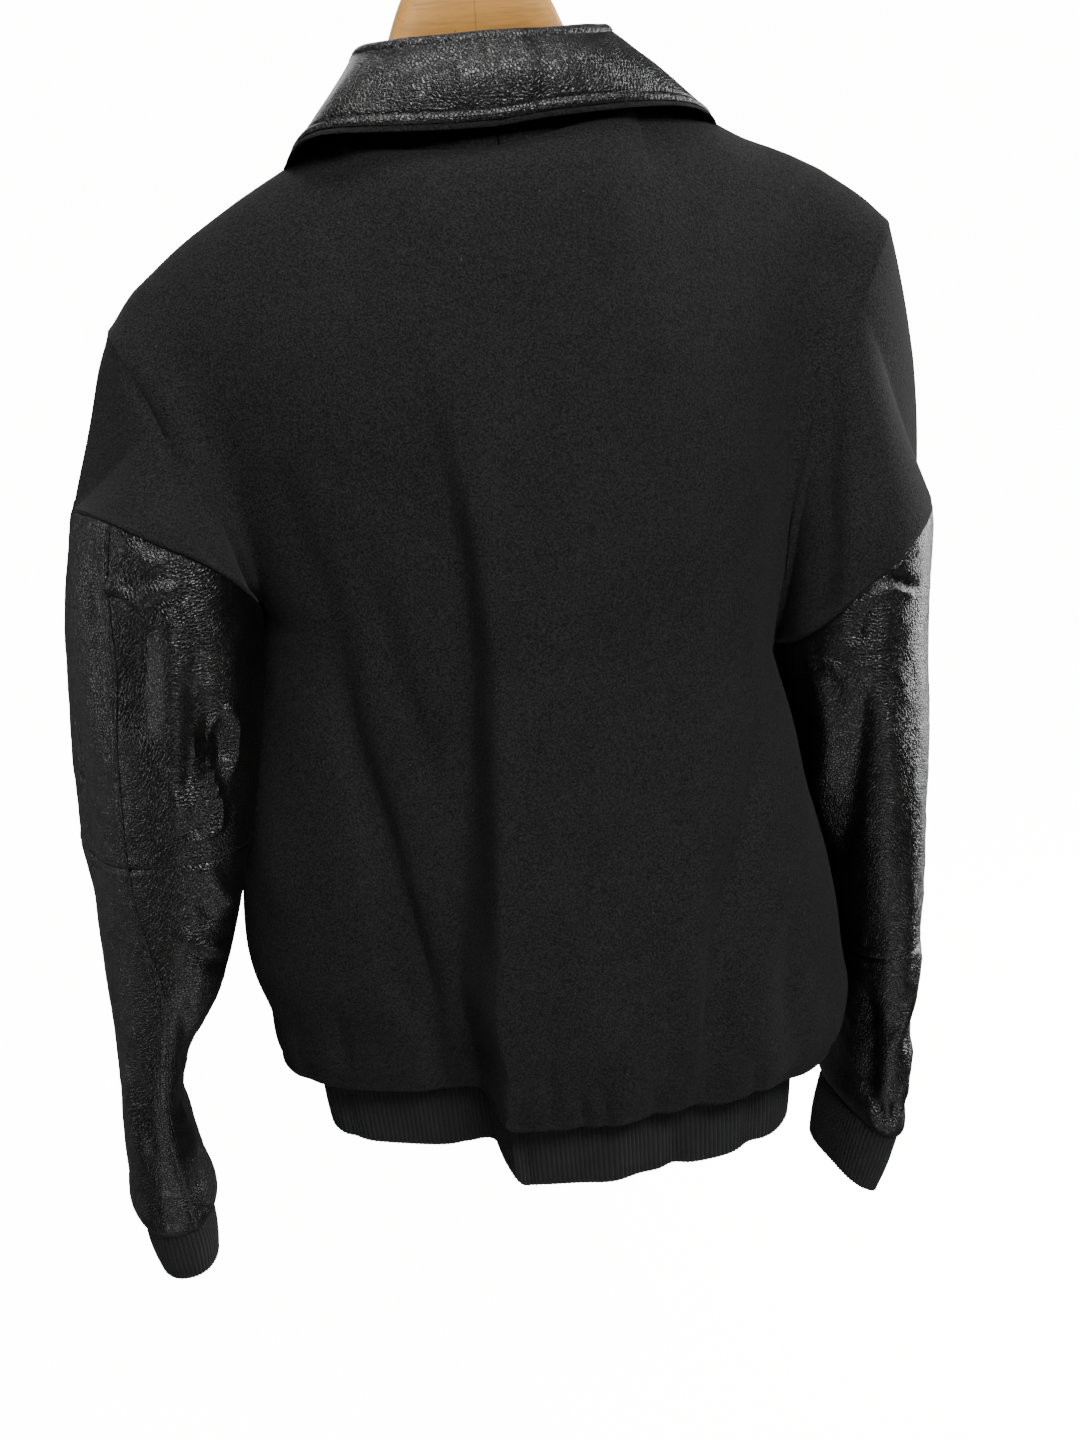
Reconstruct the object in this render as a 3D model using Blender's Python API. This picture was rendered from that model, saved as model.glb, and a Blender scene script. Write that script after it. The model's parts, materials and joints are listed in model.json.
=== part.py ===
"""Varsity jacket hanging on a wooden coat hanger.

The body is thick wool with dropped shoulders, the sleeves and the collar are leather, and the
waistband and the cuffs are rib knit. Every sewn piece is a wall of its real thickness, and the
pieces stand SEAM apart where they are sewn. +X is the wearer's left, +Y the back, +Z up, and the
origin is the inside top of the hanger's hook, where the whole thing hangs.

Run with: blender --background --python part.py
"""

import math

import bpy
import numpy as np

# ---------------------------------------------------------------- cloth and seams (metres)
WOOL = 0.0020
LEATHER = 0.0013
UNDER_WOOL = 0.0016
RIB = 0.0020
SEAM = 0.0003

# ---------------------------------------------------------------- body
SECTION_POWER = 2.35        # superellipse power of the body's level sections
SHOULDER_POWER = 2.15       # power of the arc that carries a panel over the shoulder
NECK_SHARE = 0.36           # share of a half panel's top edge that lies on the neckline
BODY_COLUMNS = ("rise", "half_width", "back", "front", "twist")
BODY_ROWS = (               # rise 0 is the hem seam, 1 the underarm; twist in degrees
    (0.000, 0.1650, 0.0930, 0.0900, -8.0),
    (0.012, 0.1790, 0.1060, 0.1010, -8.0),
    (0.050, 0.1880, 0.1150, 0.1080, -8.0),
    (0.130, 0.1970, 0.1200, 0.1120, -7.5),
    (0.260, 0.2000, 0.1210, 0.1130, -6.5),
    (0.420, 0.1965, 0.1180, 0.1110, -5.0),
    (0.680, 0.1810, 0.1110, 0.1070, -2.5),
    (0.850, 0.1705, 0.1070, 0.1050, -1.2),
    (1.000, 0.1620, 0.1040, 0.1040, 0.0),
)
HEM_COLUMNS = ("across", "back", "front")       # across: -1 wearer's right, 1 wearer's left
HEM_ROWS = (
    (-1.00, -0.7830, -0.7830),
    (-0.40, -0.7710, -0.7760),
    (0.240, -0.7670, -0.7680),
    (0.285, -0.7660, -0.7680),
    (0.330, -0.7570, -0.7670),
    (0.70, -0.7550, -0.7590),
    (1.00, -0.7540, -0.7540),
)

# the deep fold down the back: right of it the panel stands out, left of it the panel drops in
STEP_COLUMNS = ("rise", "across", "width", "drop")
STEP_ROWS = (
    (0.00, 0.288, 0.040, 0.0480),
    (0.20, 0.270, 0.085, 0.0420),
    (0.50, 0.242, 0.095, 0.0290),
    (1.00, 0.232, 0.080, 0.0140),
    (1.45, 0.235, 0.060, 0.0000),
)
# soft troughs (depth > 0) and ridges (depth < 0) in the back, by their two ends
FOLD_COLUMNS = ("across_low", "rise_low", "across_high", "rise_high", "half_width", "depth")
BACK_FOLDS = (
    (0.43, -0.10, 0.66, 0.85, 0.045, 0.0075),
    (-0.37, -0.10, -0.35, 0.62, 0.040, 0.0085),
    (0.72, -0.10, 0.76, 0.30, 0.040, 0.0050),
    (0.14, -0.15, 0.16, 0.20, 0.030, 0.0050),
    (-0.62, -0.10, -0.58, 0.45, 0.050, 0.0060),
    (-0.12, -0.10, -0.10, 0.40, 0.070, -0.0040),
    (-0.66, 0.70, -0.88, 1.45, 0.060, 0.0050),
)
FRONT_FOLDS = (
    (0.45, -0.10, 0.60, 0.80, 0.060, 0.0080),
    (-0.42, -0.10, -0.58, 0.75, 0.060, 0.0090),
    (0.75, -0.10, 0.72, 0.40, 0.050, 0.0060),
    (-0.74, -0.10, -0.76, 0.45, 0.050, 0.0060),
)

# ---------------------------------------------------------------- shoulders, on the hanger
RIDGE_COLUMNS = ("out", "height", "forward")
RIDGE_ROWS = (              # crest of the shoulder before the hanger's tilt
    (0.085, -0.1500, 0.0020),
    (0.115, -0.1625, -0.0010),
    (0.150, -0.1790, -0.0055),
    (0.185, -0.1985, -0.0110),
    (0.215, -0.2195, -0.0165),
)
TILT = 0.068                # the hanger hangs with the wearer's left end lower, metres per metre
NECK_BACK = (0.0460, -0.1650)           # y and z of the neck seam at the centre back
NECK_FRONT = (-0.0840, -0.2120)         # and at the centre front
NECK_DIP = 1.6              # power that keeps the neck seam level where it crosses the hanger

# one row a side: where the shoulder turns, the sleeve seam's outer end and the underarm
ARM_COLUMNS = ("sign", "turn_x", "turn_z", "crest_bulge", "seam_x", "seam_z", "under_z", "seam_arch",
               "groove_x", "groove_z", "shear", "cuff_out", "cuff_in", "elbow", "strip_top", "strip_low")
ARM_ROWS = {
    "left": (1, 0.2350, -0.2540, -0.0010, 0.2700, -0.3580, -0.4300, 0.0220,
             0.186, -0.345, 0.17, -0.8540, -0.8480, 0.45, 55.0, 108.0),
    "right": (-1, 0.2580, -0.2430, 0.0090, 0.2735, -0.4160, -0.5050, 0.0000,
              0.180, -0.300, 0.06, -0.8720, -0.8380, 0.65, -20.0, 25.0),
}
UNDERARM_OUT = 0.1680
UNDERARM_WIDTH = 0.0040     # the body's side and the arm stand this far apart under the arm
GROOVE_BULGE = 0.108        # sets how far the fold between body and arm stands off the side
GROOVE_RISE = 0.60          # power that opens the fold quickly above the underarm
CAP_BULGE = 0.012

# ---------------------------------------------------------------- sleeves
SLEEVE_POWER = 2.2
SLEEVE_COLUMNS = ("height", "outer", "inner", "back", "front")
SLEEVE_ROWS = {
    "left": (
        (-0.3500, 0.2680, 0.1500, 0.0760, -0.0780),
        (-0.4300, 0.2840, 0.1680, 0.0810, -0.0820),
        (-0.4800, 0.2875, 0.1790, 0.0800, -0.0820),
        (-0.5600, 0.2905, 0.1920, 0.0760, -0.0800),
        (-0.6200, 0.2905, 0.2040, 0.0700, -0.0780),
        (-0.6700, 0.2910, 0.2180, 0.0620, -0.0760),
        (-0.7100, 0.2915, 0.2385, 0.0520, -0.0740),
        (-0.7500, 0.2940, 0.2530, 0.0420, -0.0710),
        (-0.7900, 0.2970, 0.2500, 0.0370, -0.0680),
        (-0.8300, 0.2970, 0.2450, 0.0310, -0.0640),
        (-0.8600, 0.2920, 0.2470, 0.0230, -0.0560),
    ),
    "right": (
        (-0.4000, 0.2730, 0.1500, 0.0780, -0.0760),
        (-0.5050, 0.2710, 0.1680, 0.0820, -0.0760),
        (-0.5600, 0.2700, 0.1850, 0.0810, -0.0740),
        (-0.6200, 0.2670, 0.1950, 0.0800, -0.0700),
        (-0.6800, 0.2625, 0.2010, 0.0790, -0.0640),
        (-0.7300, 0.2580, 0.2020, 0.0780, -0.0560),
        (-0.7800, 0.2505, 0.2000, 0.0760, -0.0470),
        (-0.8200, 0.2460, 0.1970, 0.0730, -0.0390),
        (-0.8500, 0.2420, 0.1940, 0.0680, -0.0320),
        (-0.8800, 0.2370, 0.1920, 0.0620, -0.0260),
    ),
}
# folds round the sleeves: turn in degrees from the outer side over the back, height, sizes
CREASE_COLUMNS = ("turn_low", "low", "turn_high", "high", "half_turn", "depth")
SLEEVE_FOLDS = {
    "left": (
        (100.0, -0.56, 84.0, -0.40, 20.0, 0.0070),
        (142.0, -0.54, 126.0, -0.42, 20.0, 0.0060),
        (96.0, -0.66, 134.0, -0.60, 24.0, 0.0060),
        (60.0, -0.72, 130.0, -0.68, 26.0, 0.0060),
        (75.0, -0.82, 140.0, -0.79, 24.0, 0.0050),
        (250.0, -0.60, 285.0, -0.45, 24.0, 0.0070),
        (230.0, -0.75, 300.0, -0.68, 26.0, 0.0060),
        (330.0, -0.62, 345.0, -0.42, 24.0, -0.0040),
    ),
    "right": (
        (112.0, -0.70, 104.0, -0.53, 22.0, 0.0065),
        (60.0, -0.50, 92.0, -0.47, 22.0, 0.0055),
        (120.0, -0.80, 96.0, -0.74, 24.0, 0.0065),
        (70.0, -0.82, 120.0, -0.83, 24.0, 0.0050),
        (250.0, -0.66, 285.0, -0.50, 24.0, 0.0070),
        (235.0, -0.80, 300.0, -0.76, 26.0, 0.0060),
        (330.0, -0.70, 345.0, -0.50, 24.0, -0.0040),
    ),
}
STRIP_WIDTH = 0.0080        # seam strip along the sleeve
STRIP_THICK = 0.0010
STRIP_LIFT = 0.0012
CUFF_LENGTH = 0.050
CUFF_LEVELS = (0.0, 0.06, 1.0)      # the ribs start at the second level
CUFF_TAPER = 0.90
CUFF_TUCK = 0.0012          # the cuff starts this far inside the leather's edge
CUFF_LEAN = {"left": (-0.003, -0.020), "right": (0.010, -0.010)}   # x and y drift to its end

# ---------------------------------------------------------------- rib knit
BAND_HEIGHT = 0.0520
RIB_PITCH = 0.0052
RIB_RAISE = 0.0009
BAND_OUT = 0.0020           # the band's base stands this far outside the hem seam
BAND_DRAW = 0.985           # the band's lower edge draws in to this share

# ---------------------------------------------------------------- collar
FOLD_HALF = 0.0675
FOLD_BACK = (0.0370, -0.1050)
FOLD_FRONT = (-0.0860, -0.1660)
FOLD_SIDE_Z = -0.1070
EDGE_HALF = {"left": 0.1170, "right": 0.1410}
EDGE_OVER = 0.0065          # the fall's edge passes this far over the shoulder's crest
EDGE_BACK = (0.0600, -0.1505)
EDGE_FRONT = (-0.1000, -0.2420)
EDGE_POWER = 3.2
EDGE_RUN = 1.5              # sends the fall's folds straight down from the collar's fold
POINT_SPREAD = 0.0680       # half distance between the collar points at the front
COLLAR_STACK = LEATHER + SEAM + UNDER_WOOL
FOLD_RADIUS = COLLAR_STACK + 0.0015
COLLAR_CLEAR = 0.0005       # over the neck seam
FALL_BACK_BULGE = 0.0040    # how far the fall rounds out between fold and edge
FALL_SIDE_BULGE = -0.0030
STAND_STEPS = 2
TURN_STEPS = 3
FALL_STEPS = 4

# ---------------------------------------------------------------- front closing
LAP = 0.060                 # each front passes the centre by this share of half a panel
LAP_FADE = 0.084            # and leaves the other front's line over this share
LAP_STEP = WOOL + 0.0012
LAP_LEVEL = 1.85            # above this height the step keeps its direction
SNAP_COUNT = 7
SNAP_RISES = (0.10, 1.80)   # heights of the lowest and the highest snap
SNAP_SEAT = 0.0005
SNAP_RADIUS = 0.0075
SNAP_HEIGHT = 0.0026
SNAP_SIDES = 12

# ---------------------------------------------------------------- hanger
HANGER_COLUMNS = ("out", "top", "forward", "half_thick", "tall")
HANGER_ROWS = (
    (0.000, -0.0560, 0.0000, 0.0100, 0.060),
    (0.018, -0.0600, 0.0000, 0.0100, 0.058),
    (0.030, -0.0710, 0.0003, 0.0100, 0.052),
    (0.040, -0.0880, 0.0007, 0.0102, 0.044),
    (0.050, -0.1070, 0.0011, 0.0104, 0.036),
    (0.062, -0.1290, 0.0015, 0.0108, 0.031),
    (0.078, -0.1510, 0.0016, 0.0115, 0.029),
    (0.090, -0.1570, 0.0012, 0.0120, 0.028),
    (0.115, -0.1665, -0.0012, 0.0130, 0.027),
    (0.150, -0.1833, -0.0055, 0.0135, 0.024),
    (0.175, -0.1975, -0.0085, 0.0125, 0.020),
    (0.190, -0.2070, -0.0105, 0.0105, 0.015),
    (0.197, -0.2125, -0.0115, 0.0070, 0.008),
)
HANGER_POWER = 2.1
HANGER_SIDES = 12
HOOK_WIRE = 0.00175         # radius of the hook's wire
HOOK_INNER = 0.0180         # inner radius of the hook
HOOK_SHANK = 0.0060         # radius of the bend where the shank meets the loop
HOOK_SEAT = 0.0004          # gap between the shank's foot and the top of the wood

# ---------------------------------------------------------------- net density
LOWER_ROWS = (0.0, 0.012, 0.05, 0.13, 0.26, 0.40, 0.55, 0.70, 0.85, 1.0)
SEAM_STEPS = 10             # half of the sleeve seam
RIDGE_STEPS = 3             # from the sleeve seam up to the shoulder's turn
CAP_STEPS = 3
RIGHT_SHOULDER = ((-1.0, -NECK_SHARE, 7),)      # (from, to, steps) across half a panel
BACK_NECK = ((-NECK_SHARE, 0.0, 5), (0.0, 0.216, 3), (0.216, NECK_SHARE, 4))
LEFT_SHOULDER = ((NECK_SHARE, 0.48, 2), (0.48, 1.0, 6))
FRONT_NECK_STEPS = 6        # from the centre front to each side of the neck
SLEEVE_RINGS = 18


# ================================================================ small mathematics

def column(rows, names, name):
    return np.array([row[names.index(name)] for row in rows], float)


def flow(keys, values, at):
    """Smooth curve through the rows of a table: cubic pieces with centred slopes."""
    slopes = np.gradient(values, keys)
    at = np.clip(np.asarray(at, float), keys[0], keys[-1])
    i = np.clip(np.searchsorted(keys, at, side="right") - 1, 0, len(keys) - 2)
    span = keys[i + 1] - keys[i]
    u = (at - keys[i]) / span
    return ((2 * u ** 3 - 3 * u ** 2 + 1) * values[i] + (u ** 3 - 2 * u ** 2 + u) * span * slopes[i]
            + (3 * u ** 2 - 2 * u ** 3) * values[i + 1] + (u ** 3 - u ** 2) * span * slopes[i + 1])


def read(rows, names, key, at, *wanted):
    """Columns of a table at the given key values."""
    keys = column(rows, names, key)
    order = np.argsort(keys)
    return [flow(keys[order], column(rows, names, name)[order], at) for name in wanted]


def ease(value, low, high):
    t = np.clip((value - low) / (high - low), 0.0, 1.0)
    return t * t * (3 - 2 * t)


def stack(x, y, z):
    return np.stack(np.broadcast_arrays(x, y, z), -1)


def power_curve(angle, power):
    """Cosine and sine of a superellipse of half sizes 1."""
    c, s = np.cos(angle), np.sin(angle)
    return np.sign(c) * np.abs(c) ** (2 / power), np.sign(s) * np.abs(s) ** (2 / power)


def even_half_section():
    """Angles of a typical half section at even steps along its length, from side to side."""
    angle = np.linspace(0, math.pi, 721)
    c, s = power_curve(angle, SECTION_POWER)
    steps = np.hypot(np.diff(0.185 * c), np.diff(0.112 * s))
    run = np.concatenate([[0], np.cumsum(steps)])
    return 1 - 2 * run / run[-1], angle


ACROSS, ACROSS_ANGLE = even_half_section()


def soft_folds(rows, names, across, rise):
    """Sum of troughs along slanting lines: a bell across each line, fading at both ends."""
    total = np.zeros(np.broadcast(across, rise).shape)
    for row in rows:
        low_a, low_r, high_a, high_r, half, depth = row
        along = (rise - low_r) / (high_r - low_r)
        centre = low_a + (high_a - low_a) * along
        fade = ease(along, 0.0, 0.18) * (1 - ease(along, 0.35, 1.0))
        total = total + depth * fade * np.exp(-((across - centre) / half) ** 2)
    return total


# ================================================================ body

def arm(side):
    return dict(zip(ARM_COLUMNS, ARM_ROWS[side]))


def tilt(x, z):
    return z - TILT * x


def section(across, rise, face):
    """Level section of the body: a superellipse whose two halves have their own depths."""
    half, back, front, twist = read(BODY_ROWS, BODY_COLUMNS, "rise", rise,
                                    "half_width", "back", "front", "twist")
    angle = np.interp(-across, -ACROSS, ACROSS_ANGLE)
    c, s = power_curve(angle, SECTION_POWER)
    x, y = half * c, face * (back if face > 0 else front) * s
    turn = np.radians(twist)
    return x * np.cos(turn) - y * np.sin(turn), x * np.sin(turn) + y * np.cos(turn)


def relief(across, rise, face):
    """How far the panel's folds sink, fading to nothing at its sides."""
    sink = soft_folds(BACK_FOLDS if face > 0 else FRONT_FOLDS, FOLD_COLUMNS, across, rise)
    if face > 0:
        sink = sink + back_step(across, rise)
    angle = np.interp(-across, -ACROSS, ACROSS_ANGLE)
    return sink * power_curve(angle, SECTION_POWER)[1]


def back_step(across, rise):
    centre, width, drop = read(STEP_ROWS, STEP_COLUMNS, "rise", rise, "across", "width", "drop")
    return drop * ease(across, centre, centre + width)


def hem_height(across, face):
    return read(HEM_ROWS, HEM_COLUMNS, "across", across, "back" if face > 0 else "front")[0]


def underarm_height(across):
    left, right = arm("left")["under_z"], arm("right")["under_z"]
    return 0.5 * (left + right) + 0.5 * (left - right) * across


def top_edge(across, face):
    """Upper edge of a panel: half the neckline, then the shoulder's crest out to its turn."""
    size = np.abs(across)
    sign = np.where(across < 0, -1.0, 1.0)
    quarter = np.clip(size / NECK_SHARE, 0, 1) * math.pi / 2
    end_y, end_z = NECK_BACK if face > 0 else NECK_FRONT
    start_x, start_z, start_y = RIDGE_ROWS[0]
    neck_x = start_x * np.sin(quarter)
    neck_y = start_y + (end_y - start_y) * np.cos(quarter)
    neck_z = start_z + (end_z - start_z) * np.cos(quarter) ** NECK_DIP
    share = np.clip((size - NECK_SHARE) / (1 - NECK_SHARE), 0, 1)
    turn_x = np.where(sign > 0, arm("left")["turn_x"], arm("right")["turn_x"])
    turn_z = np.where(sign > 0, arm("left")["turn_z"], arm("right")["turn_z"])
    out = start_x + (turn_x - start_x) * share
    height, forward = read(RIDGE_ROWS, RIDGE_COLUMNS, "out", out, "height", "forward")
    last_x, last_z, last_y = RIDGE_ROWS[-1]
    beyond = np.clip((out - last_x) / (turn_x - last_x), 0, 1)
    drop_to_turn = turn_z + TILT * turn_x * sign - last_z
    height = height + drop_to_turn * beyond
    on_neck = size <= NECK_SHARE
    x = np.where(on_neck, neck_x, out) * sign
    y = np.where(on_neck, neck_y, forward)
    z = tilt(x, np.where(on_neck, neck_z, height))
    return x, y, z


def groove(side, rise, face):
    """Bottom of the fold between body and arm, from the underarm up to the shoulder's turn."""
    a = arm(side)
    t = np.asarray(rise, float)
    ends = ((1 - t) ** 2, 2 * t * (1 - t), t ** 2)
    x = ends[0] * UNDERARM_OUT + ends[1] * a["groove_x"] + ends[2] * a["turn_x"]
    y = GROOVE_BULGE * t ** GROOVE_RISE * np.sqrt(1 - t) * face + ends[2] * RIDGE_ROWS[-1][2]
    z = ends[0] * a["under_z"] + ends[1] * a["groove_z"] + ends[2] * a["turn_z"]
    return stack(a["sign"] * x, y, z)


def body_pit(side):
    """Where the body's side seam ends under the arm."""
    return groove(side, 0.0, 1) - np.array([arm(side)["sign"] * UNDERARM_WIDTH, 0.0, 0.0])


def body(across, rise, face):
    """Point of the wool body. rise 0 to 1 is hem to underarm, 1 to 2 underarm to shoulder."""
    across, rise = np.broadcast_arrays(np.asarray(across, float), np.asarray(rise, float))
    low = np.clip(rise, 0, 1)
    x, y = section(across, low, face)
    hem, under = hem_height(across, face), underarm_height(across)
    z = hem + (under - hem) * low
    up = np.clip(rise - 1, 0, 1)
    top_x, top_y, top_z = top_edge(across, face)
    lift = np.sin(up * math.pi / 2) ** (2 / SHOULDER_POWER)
    keep = np.cos(up * math.pi / 2) ** (2 / SHOULDER_POWER)
    points = stack(x + (top_x - x) * lift ** 1.6, top_y + (y - top_y) * keep, z + (top_z - z) * lift)
    points[..., 1] -= face * relief(across, rise, face)
    for side in ARM_ROWS:
        sign = arm(side)["sign"]
        turn_x, turn_z, under_z = (arm(side)[name] for name in ("turn_x", "turn_z", "under_z"))
        edge = stack(sign * (UNDERARM_OUT + (turn_x - UNDERARM_OUT) * lift ** 1.6),
                     RIDGE_ROWS[-1][2] * (1 - keep), under_z + (turn_z - under_z) * lift)
        pull = np.where(across * sign > 0, np.abs(across), 0.0) ** 7 * (rise > 1)
        points = points + pull[..., None] * (groove(side, up, face) - edge)
    return points


# ================================================================ sleeves and arm caps

def sleeve(side, turn, down):
    """Point of the leather sleeve: level superellipses between the sleeve seam and the cuff."""
    a = arm(side)
    turn, down = np.broadcast_arrays(np.asarray(turn, float), np.asarray(down, float))
    inward = 0.5 * (1 - np.cos(turn))
    start = a["seam_z"] + (a["under_z"] - a["seam_z"]) * inward
    start = start + a["seam_arch"] * np.clip(np.sin(turn), 0, 1)
    end = a["cuff_out"] + (a["cuff_in"] - a["cuff_out"]) * inward
    z = start + (end - start) * down
    outer, inner, back, front = read(SLEEVE_ROWS[side], SLEEVE_COLUMNS, "height", z,
                                     "outer", "inner", "back", "front")
    c, s = power_curve(turn, SLEEVE_POWER)
    dent = sleeve_dent(side, turn, z) * ease(down, 0.0, 0.06) * (1 - ease(down, 0.94, 1.0))
    half_x, half_y = 0.5 * (outer - inner) - dent, 0.5 * (back - front) - dent
    y = 0.5 * (back + front) + half_y * s
    lean = a["shear"] * ease(down, 0.0, 0.2) * (1 - ease(down, 0.55, 0.85))
    x = 0.5 * (outer + inner) + half_x * c - lean * y
    return stack(a["sign"] * x, y, z)


def sleeve_dent(side, turn, z):
    degrees = np.degrees(turn) % 360.0
    return soft_folds(SLEEVE_FOLDS[side], CREASE_COLUMNS, degrees, z)


def seam_turns():
    """Turns of the sleeve seam's points, from the underarm over one face to the outer end."""
    return math.pi * (1 - np.arange(SEAM_STEPS + 1) / SEAM_STEPS)


def cap_outer(side, face):
    """Outer border of an arm cap: half the sleeve seam, then the crest up to the turn."""
    a = arm(side)
    turns = seam_turns()
    seam = sleeve(side, turns if face > 0 else 2 * math.pi - turns, 0.0)
    seam[0] = groove(side, 0.0, face)
    seam[-1] = sleeve(side, 0.0, 0.0)
    share = np.arange(1, RIDGE_STEPS + 1) / RIDGE_STEPS
    corner = groove(side, 1.0, face)
    crest = seam[-1] + (corner - seam[-1]) * share[:, None]
    crest[:, 0] += a["sign"] * a["crest_bulge"] * np.sin(math.pi * share)
    return np.concatenate([seam, crest])


def cap(side, face):
    """Arm cap between the groove and the outer border, rounded out between them."""
    outer = cap_outer(side, face)
    rise = np.arange(len(outer)) / (len(outer) - 1)
    inner = groove(side, rise, face)
    share = (np.arange(CAP_STEPS + 1) / CAP_STEPS)[None, :, None]
    grid = inner[:, None, :] * (1 - share) + outer[:, None, :] * share
    swell = 4 * share[..., 0] * (1 - share[..., 0]) * np.sin(math.pi * rise)[:, None] * CAP_BULGE
    grid[..., 1] += face * swell
    return grid


# ================================================================ the net of shared points

class Net:
    """One net for all sewn panels, so that panels which meet share their points and normals."""

    def __init__(self):
        self.points = []
        self.index = {}
        self.faces = []
        self.panels = []

    def key(self, place):
        return tuple(int(round(value * 1e6)) for value in place)

    def point(self, place):
        key = self.key(place)
        if key not in self.index:
            self.index[key] = len(self.points)
            self.points.append(tuple(place))
        return self.index[key]

    def add(self, panel, grid, axis):
        """Add a grid of points, its faces turned away from the upright axis at (x, y)."""
        ids = [[self.point(place) for place in row] for row in grid]
        centre = grid.reshape(-1, 3).mean(0)
        first = grid[1:, :-1] - grid[:-1, 1:]
        second = grid[1:, 1:] - grid[:-1, :-1]
        normals = np.cross(first, second)
        middles = (grid[1:, 1:] + grid[:-1, :-1]) / 2
        away = middles - np.array([axis[0], axis[1], centre[2]])
        flip = (normals[..., :2] * away[..., :2]).sum() < 0
        for r in range(len(ids) - 1):
            for c in range(len(ids[0]) - 1):
                ring = [ids[r][c], ids[r + 1][c], ids[r + 1][c + 1], ids[r][c + 1]]
                ring = [v for k, v in enumerate(ring) if v != ring[k - 1]]
                if len(set(ring)) > 2:
                    self.faces.append(tuple(ring[::-1]) if flip else tuple(ring))
                    self.panels.append(panel)

    def add_plain(self, panel, grid):
        """Add a grid whose faces are already turned the right way."""
        ids = [[self.point(place) for place in row] for row in grid]
        for r in range(len(ids) - 1):
            for c in range(len(ids[0]) - 1):
                self.faces.append((ids[r][c], ids[r][c + 1], ids[r + 1][c + 1], ids[r + 1][c]))
                self.panels.append(panel)

    def normals(self):
        points = np.array(self.points)
        normals = np.zeros_like(points)
        for face in self.faces:
            corners = points[list(face)]
            normal = face_normal(corners)
            normal = normal / np.linalg.norm(normal)
            for k, vertex in enumerate(face):
                normals[vertex] += normal * corner_angle(corners, k)
        return normals / np.linalg.norm(normals, axis=1)[:, None]

    def wall(self, panel, thickness):
        """Closed wall of one panel, drawn back half a seam gap from its border."""
        points = np.array(self.points)
        normals = self.normals()
        for place, direction in pit_directions():
            if self.key(place) in self.index:
                normals[self.index[self.key(place)]] = direction / np.linalg.norm(direction)
        faces = [face for face, owner in zip(self.faces, self.panels) if owner == panel]
        return closed_wall(points, normals, faces, thickness, SEAM / 2)


def pit_directions():
    """Places under the arms where walls meet at sharp angles, and the outward directions there."""
    first = 1 / (SEAM_STEPS + RIDGE_STEPS)
    for side in ARM_ROWS:
        sign = arm(side)["sign"]
        yield body_pit(side), np.array([sign * 1.1, 0.0, -1.0])
        yield groove(side, 0.0, 1), np.array([sign * -3.0, 0.0, -1.0])
        for face in (1, -1):
            yield groove(side, first, face), np.array([0.0, face * 1.6, -1.0])


def face_normal(corners):
    """Area vector of a triangle or quad."""
    if len(corners) == 3:
        return 0.5 * np.cross(corners[1] - corners[0], corners[2] - corners[0])
    return 0.5 * np.cross(corners[2] - corners[0], corners[3] - corners[1])


def corner_angle(corners, k):
    before = corners[k - 1] - corners[k]
    after = corners[(k + 1) % len(corners)] - corners[k]
    cosine = np.dot(before, after) / (np.linalg.norm(before) * np.linalg.norm(after))
    return math.acos(min(1.0, max(-1.0, cosine)))


def border_edges(faces):
    edges = [(face[k], face[(k + 1) % len(face)]) for face in faces for k in range(len(face))]
    twins = set(edges)
    return [(a, b) for a, b in edges if (b, a) not in twins]


def halves(points, face):
    """A quad cut along its shorter diagonal, so that both sides of a wall bend alike."""
    if len(face) == 3:
        return [face]
    a, b, c, d = face
    if np.linalg.norm(points[a] - points[c]) <= np.linalg.norm(points[b] - points[d]):
        return [(a, b, c), (a, c, d)]
    return [(a, b, d), (b, c, d)]


def closed_wall(points, normals, faces, thickness, inset):
    """Outer faces, inner faces and rims: the points, and the points moved in by the thickness."""
    faces = [half for face in faces for half in halves(points, face)]
    border = border_edges(faces)
    shift = np.zeros_like(points)
    weight = np.zeros(len(points))
    owner = {}
    for face in faces:
        for k in range(len(face)):
            owner[(face[k], face[(k + 1) % len(face)])] = face
    for a, b in border:
        across = np.cross(face_normal(points[list(owner[(a, b)])]), points[b] - points[a])
        across = across / np.linalg.norm(across)
        for vertex in (a, b):
            shift[vertex] += across
            weight[vertex] += 1
    moved = weight > 0
    length = np.linalg.norm(shift[moved], axis=1)
    shift[moved] = shift[moved] / length[:, None] * np.minimum(weight[moved] / length, 3)[:, None] * inset
    used = sorted({vertex for face in faces for vertex in face})
    local = {vertex: k for k, vertex in enumerate(used)}
    outer = (points + shift)[used]
    inner = outer - normals[used] * thickness
    count = len(used)
    rings = [tuple(local[v] for v in face) for face in faces]
    rings += [tuple(count + local[v] for v in reversed(face)) for face in faces]
    walls = np.concatenate([outer, inner])
    for a, b in border:
        rings += halves(walls, (local[b], local[a], count + local[a], count + local[b]))
    return walls, rings


# ================================================================ objects and materials

def material(name, colour, roughness, metallic=0.0):
    made = bpy.data.materials.new(name)
    made.use_nodes = True
    shader = made.node_tree.nodes["Principled BSDF"]
    shader.inputs["Base Color"].default_value = (*colour, 1.0)
    shader.inputs["Roughness"].default_value = roughness
    shader.inputs["Metallic"].default_value = metallic
    return made


def add_object(name, points, faces, finish, smooth=True):
    mesh = bpy.data.meshes.new(name)
    mesh.from_pydata([tuple(point) for point in points], [], faces)
    mesh.materials.append(finish)
    made = bpy.data.objects.new(name, mesh)
    bpy.context.collection.objects.link(made)
    if smooth:
        mesh.shade_smooth()
        mesh.set_sharp_from_angle(angle=math.radians(50))
    return made


def spans(parts):
    """Numbers at even steps through each (from, to, steps) part."""
    pieces = [np.linspace(low, high, steps + 1)[:-1] for low, high, steps in parts]
    return np.concatenate(pieces + [[parts[-1][1]]])


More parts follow.
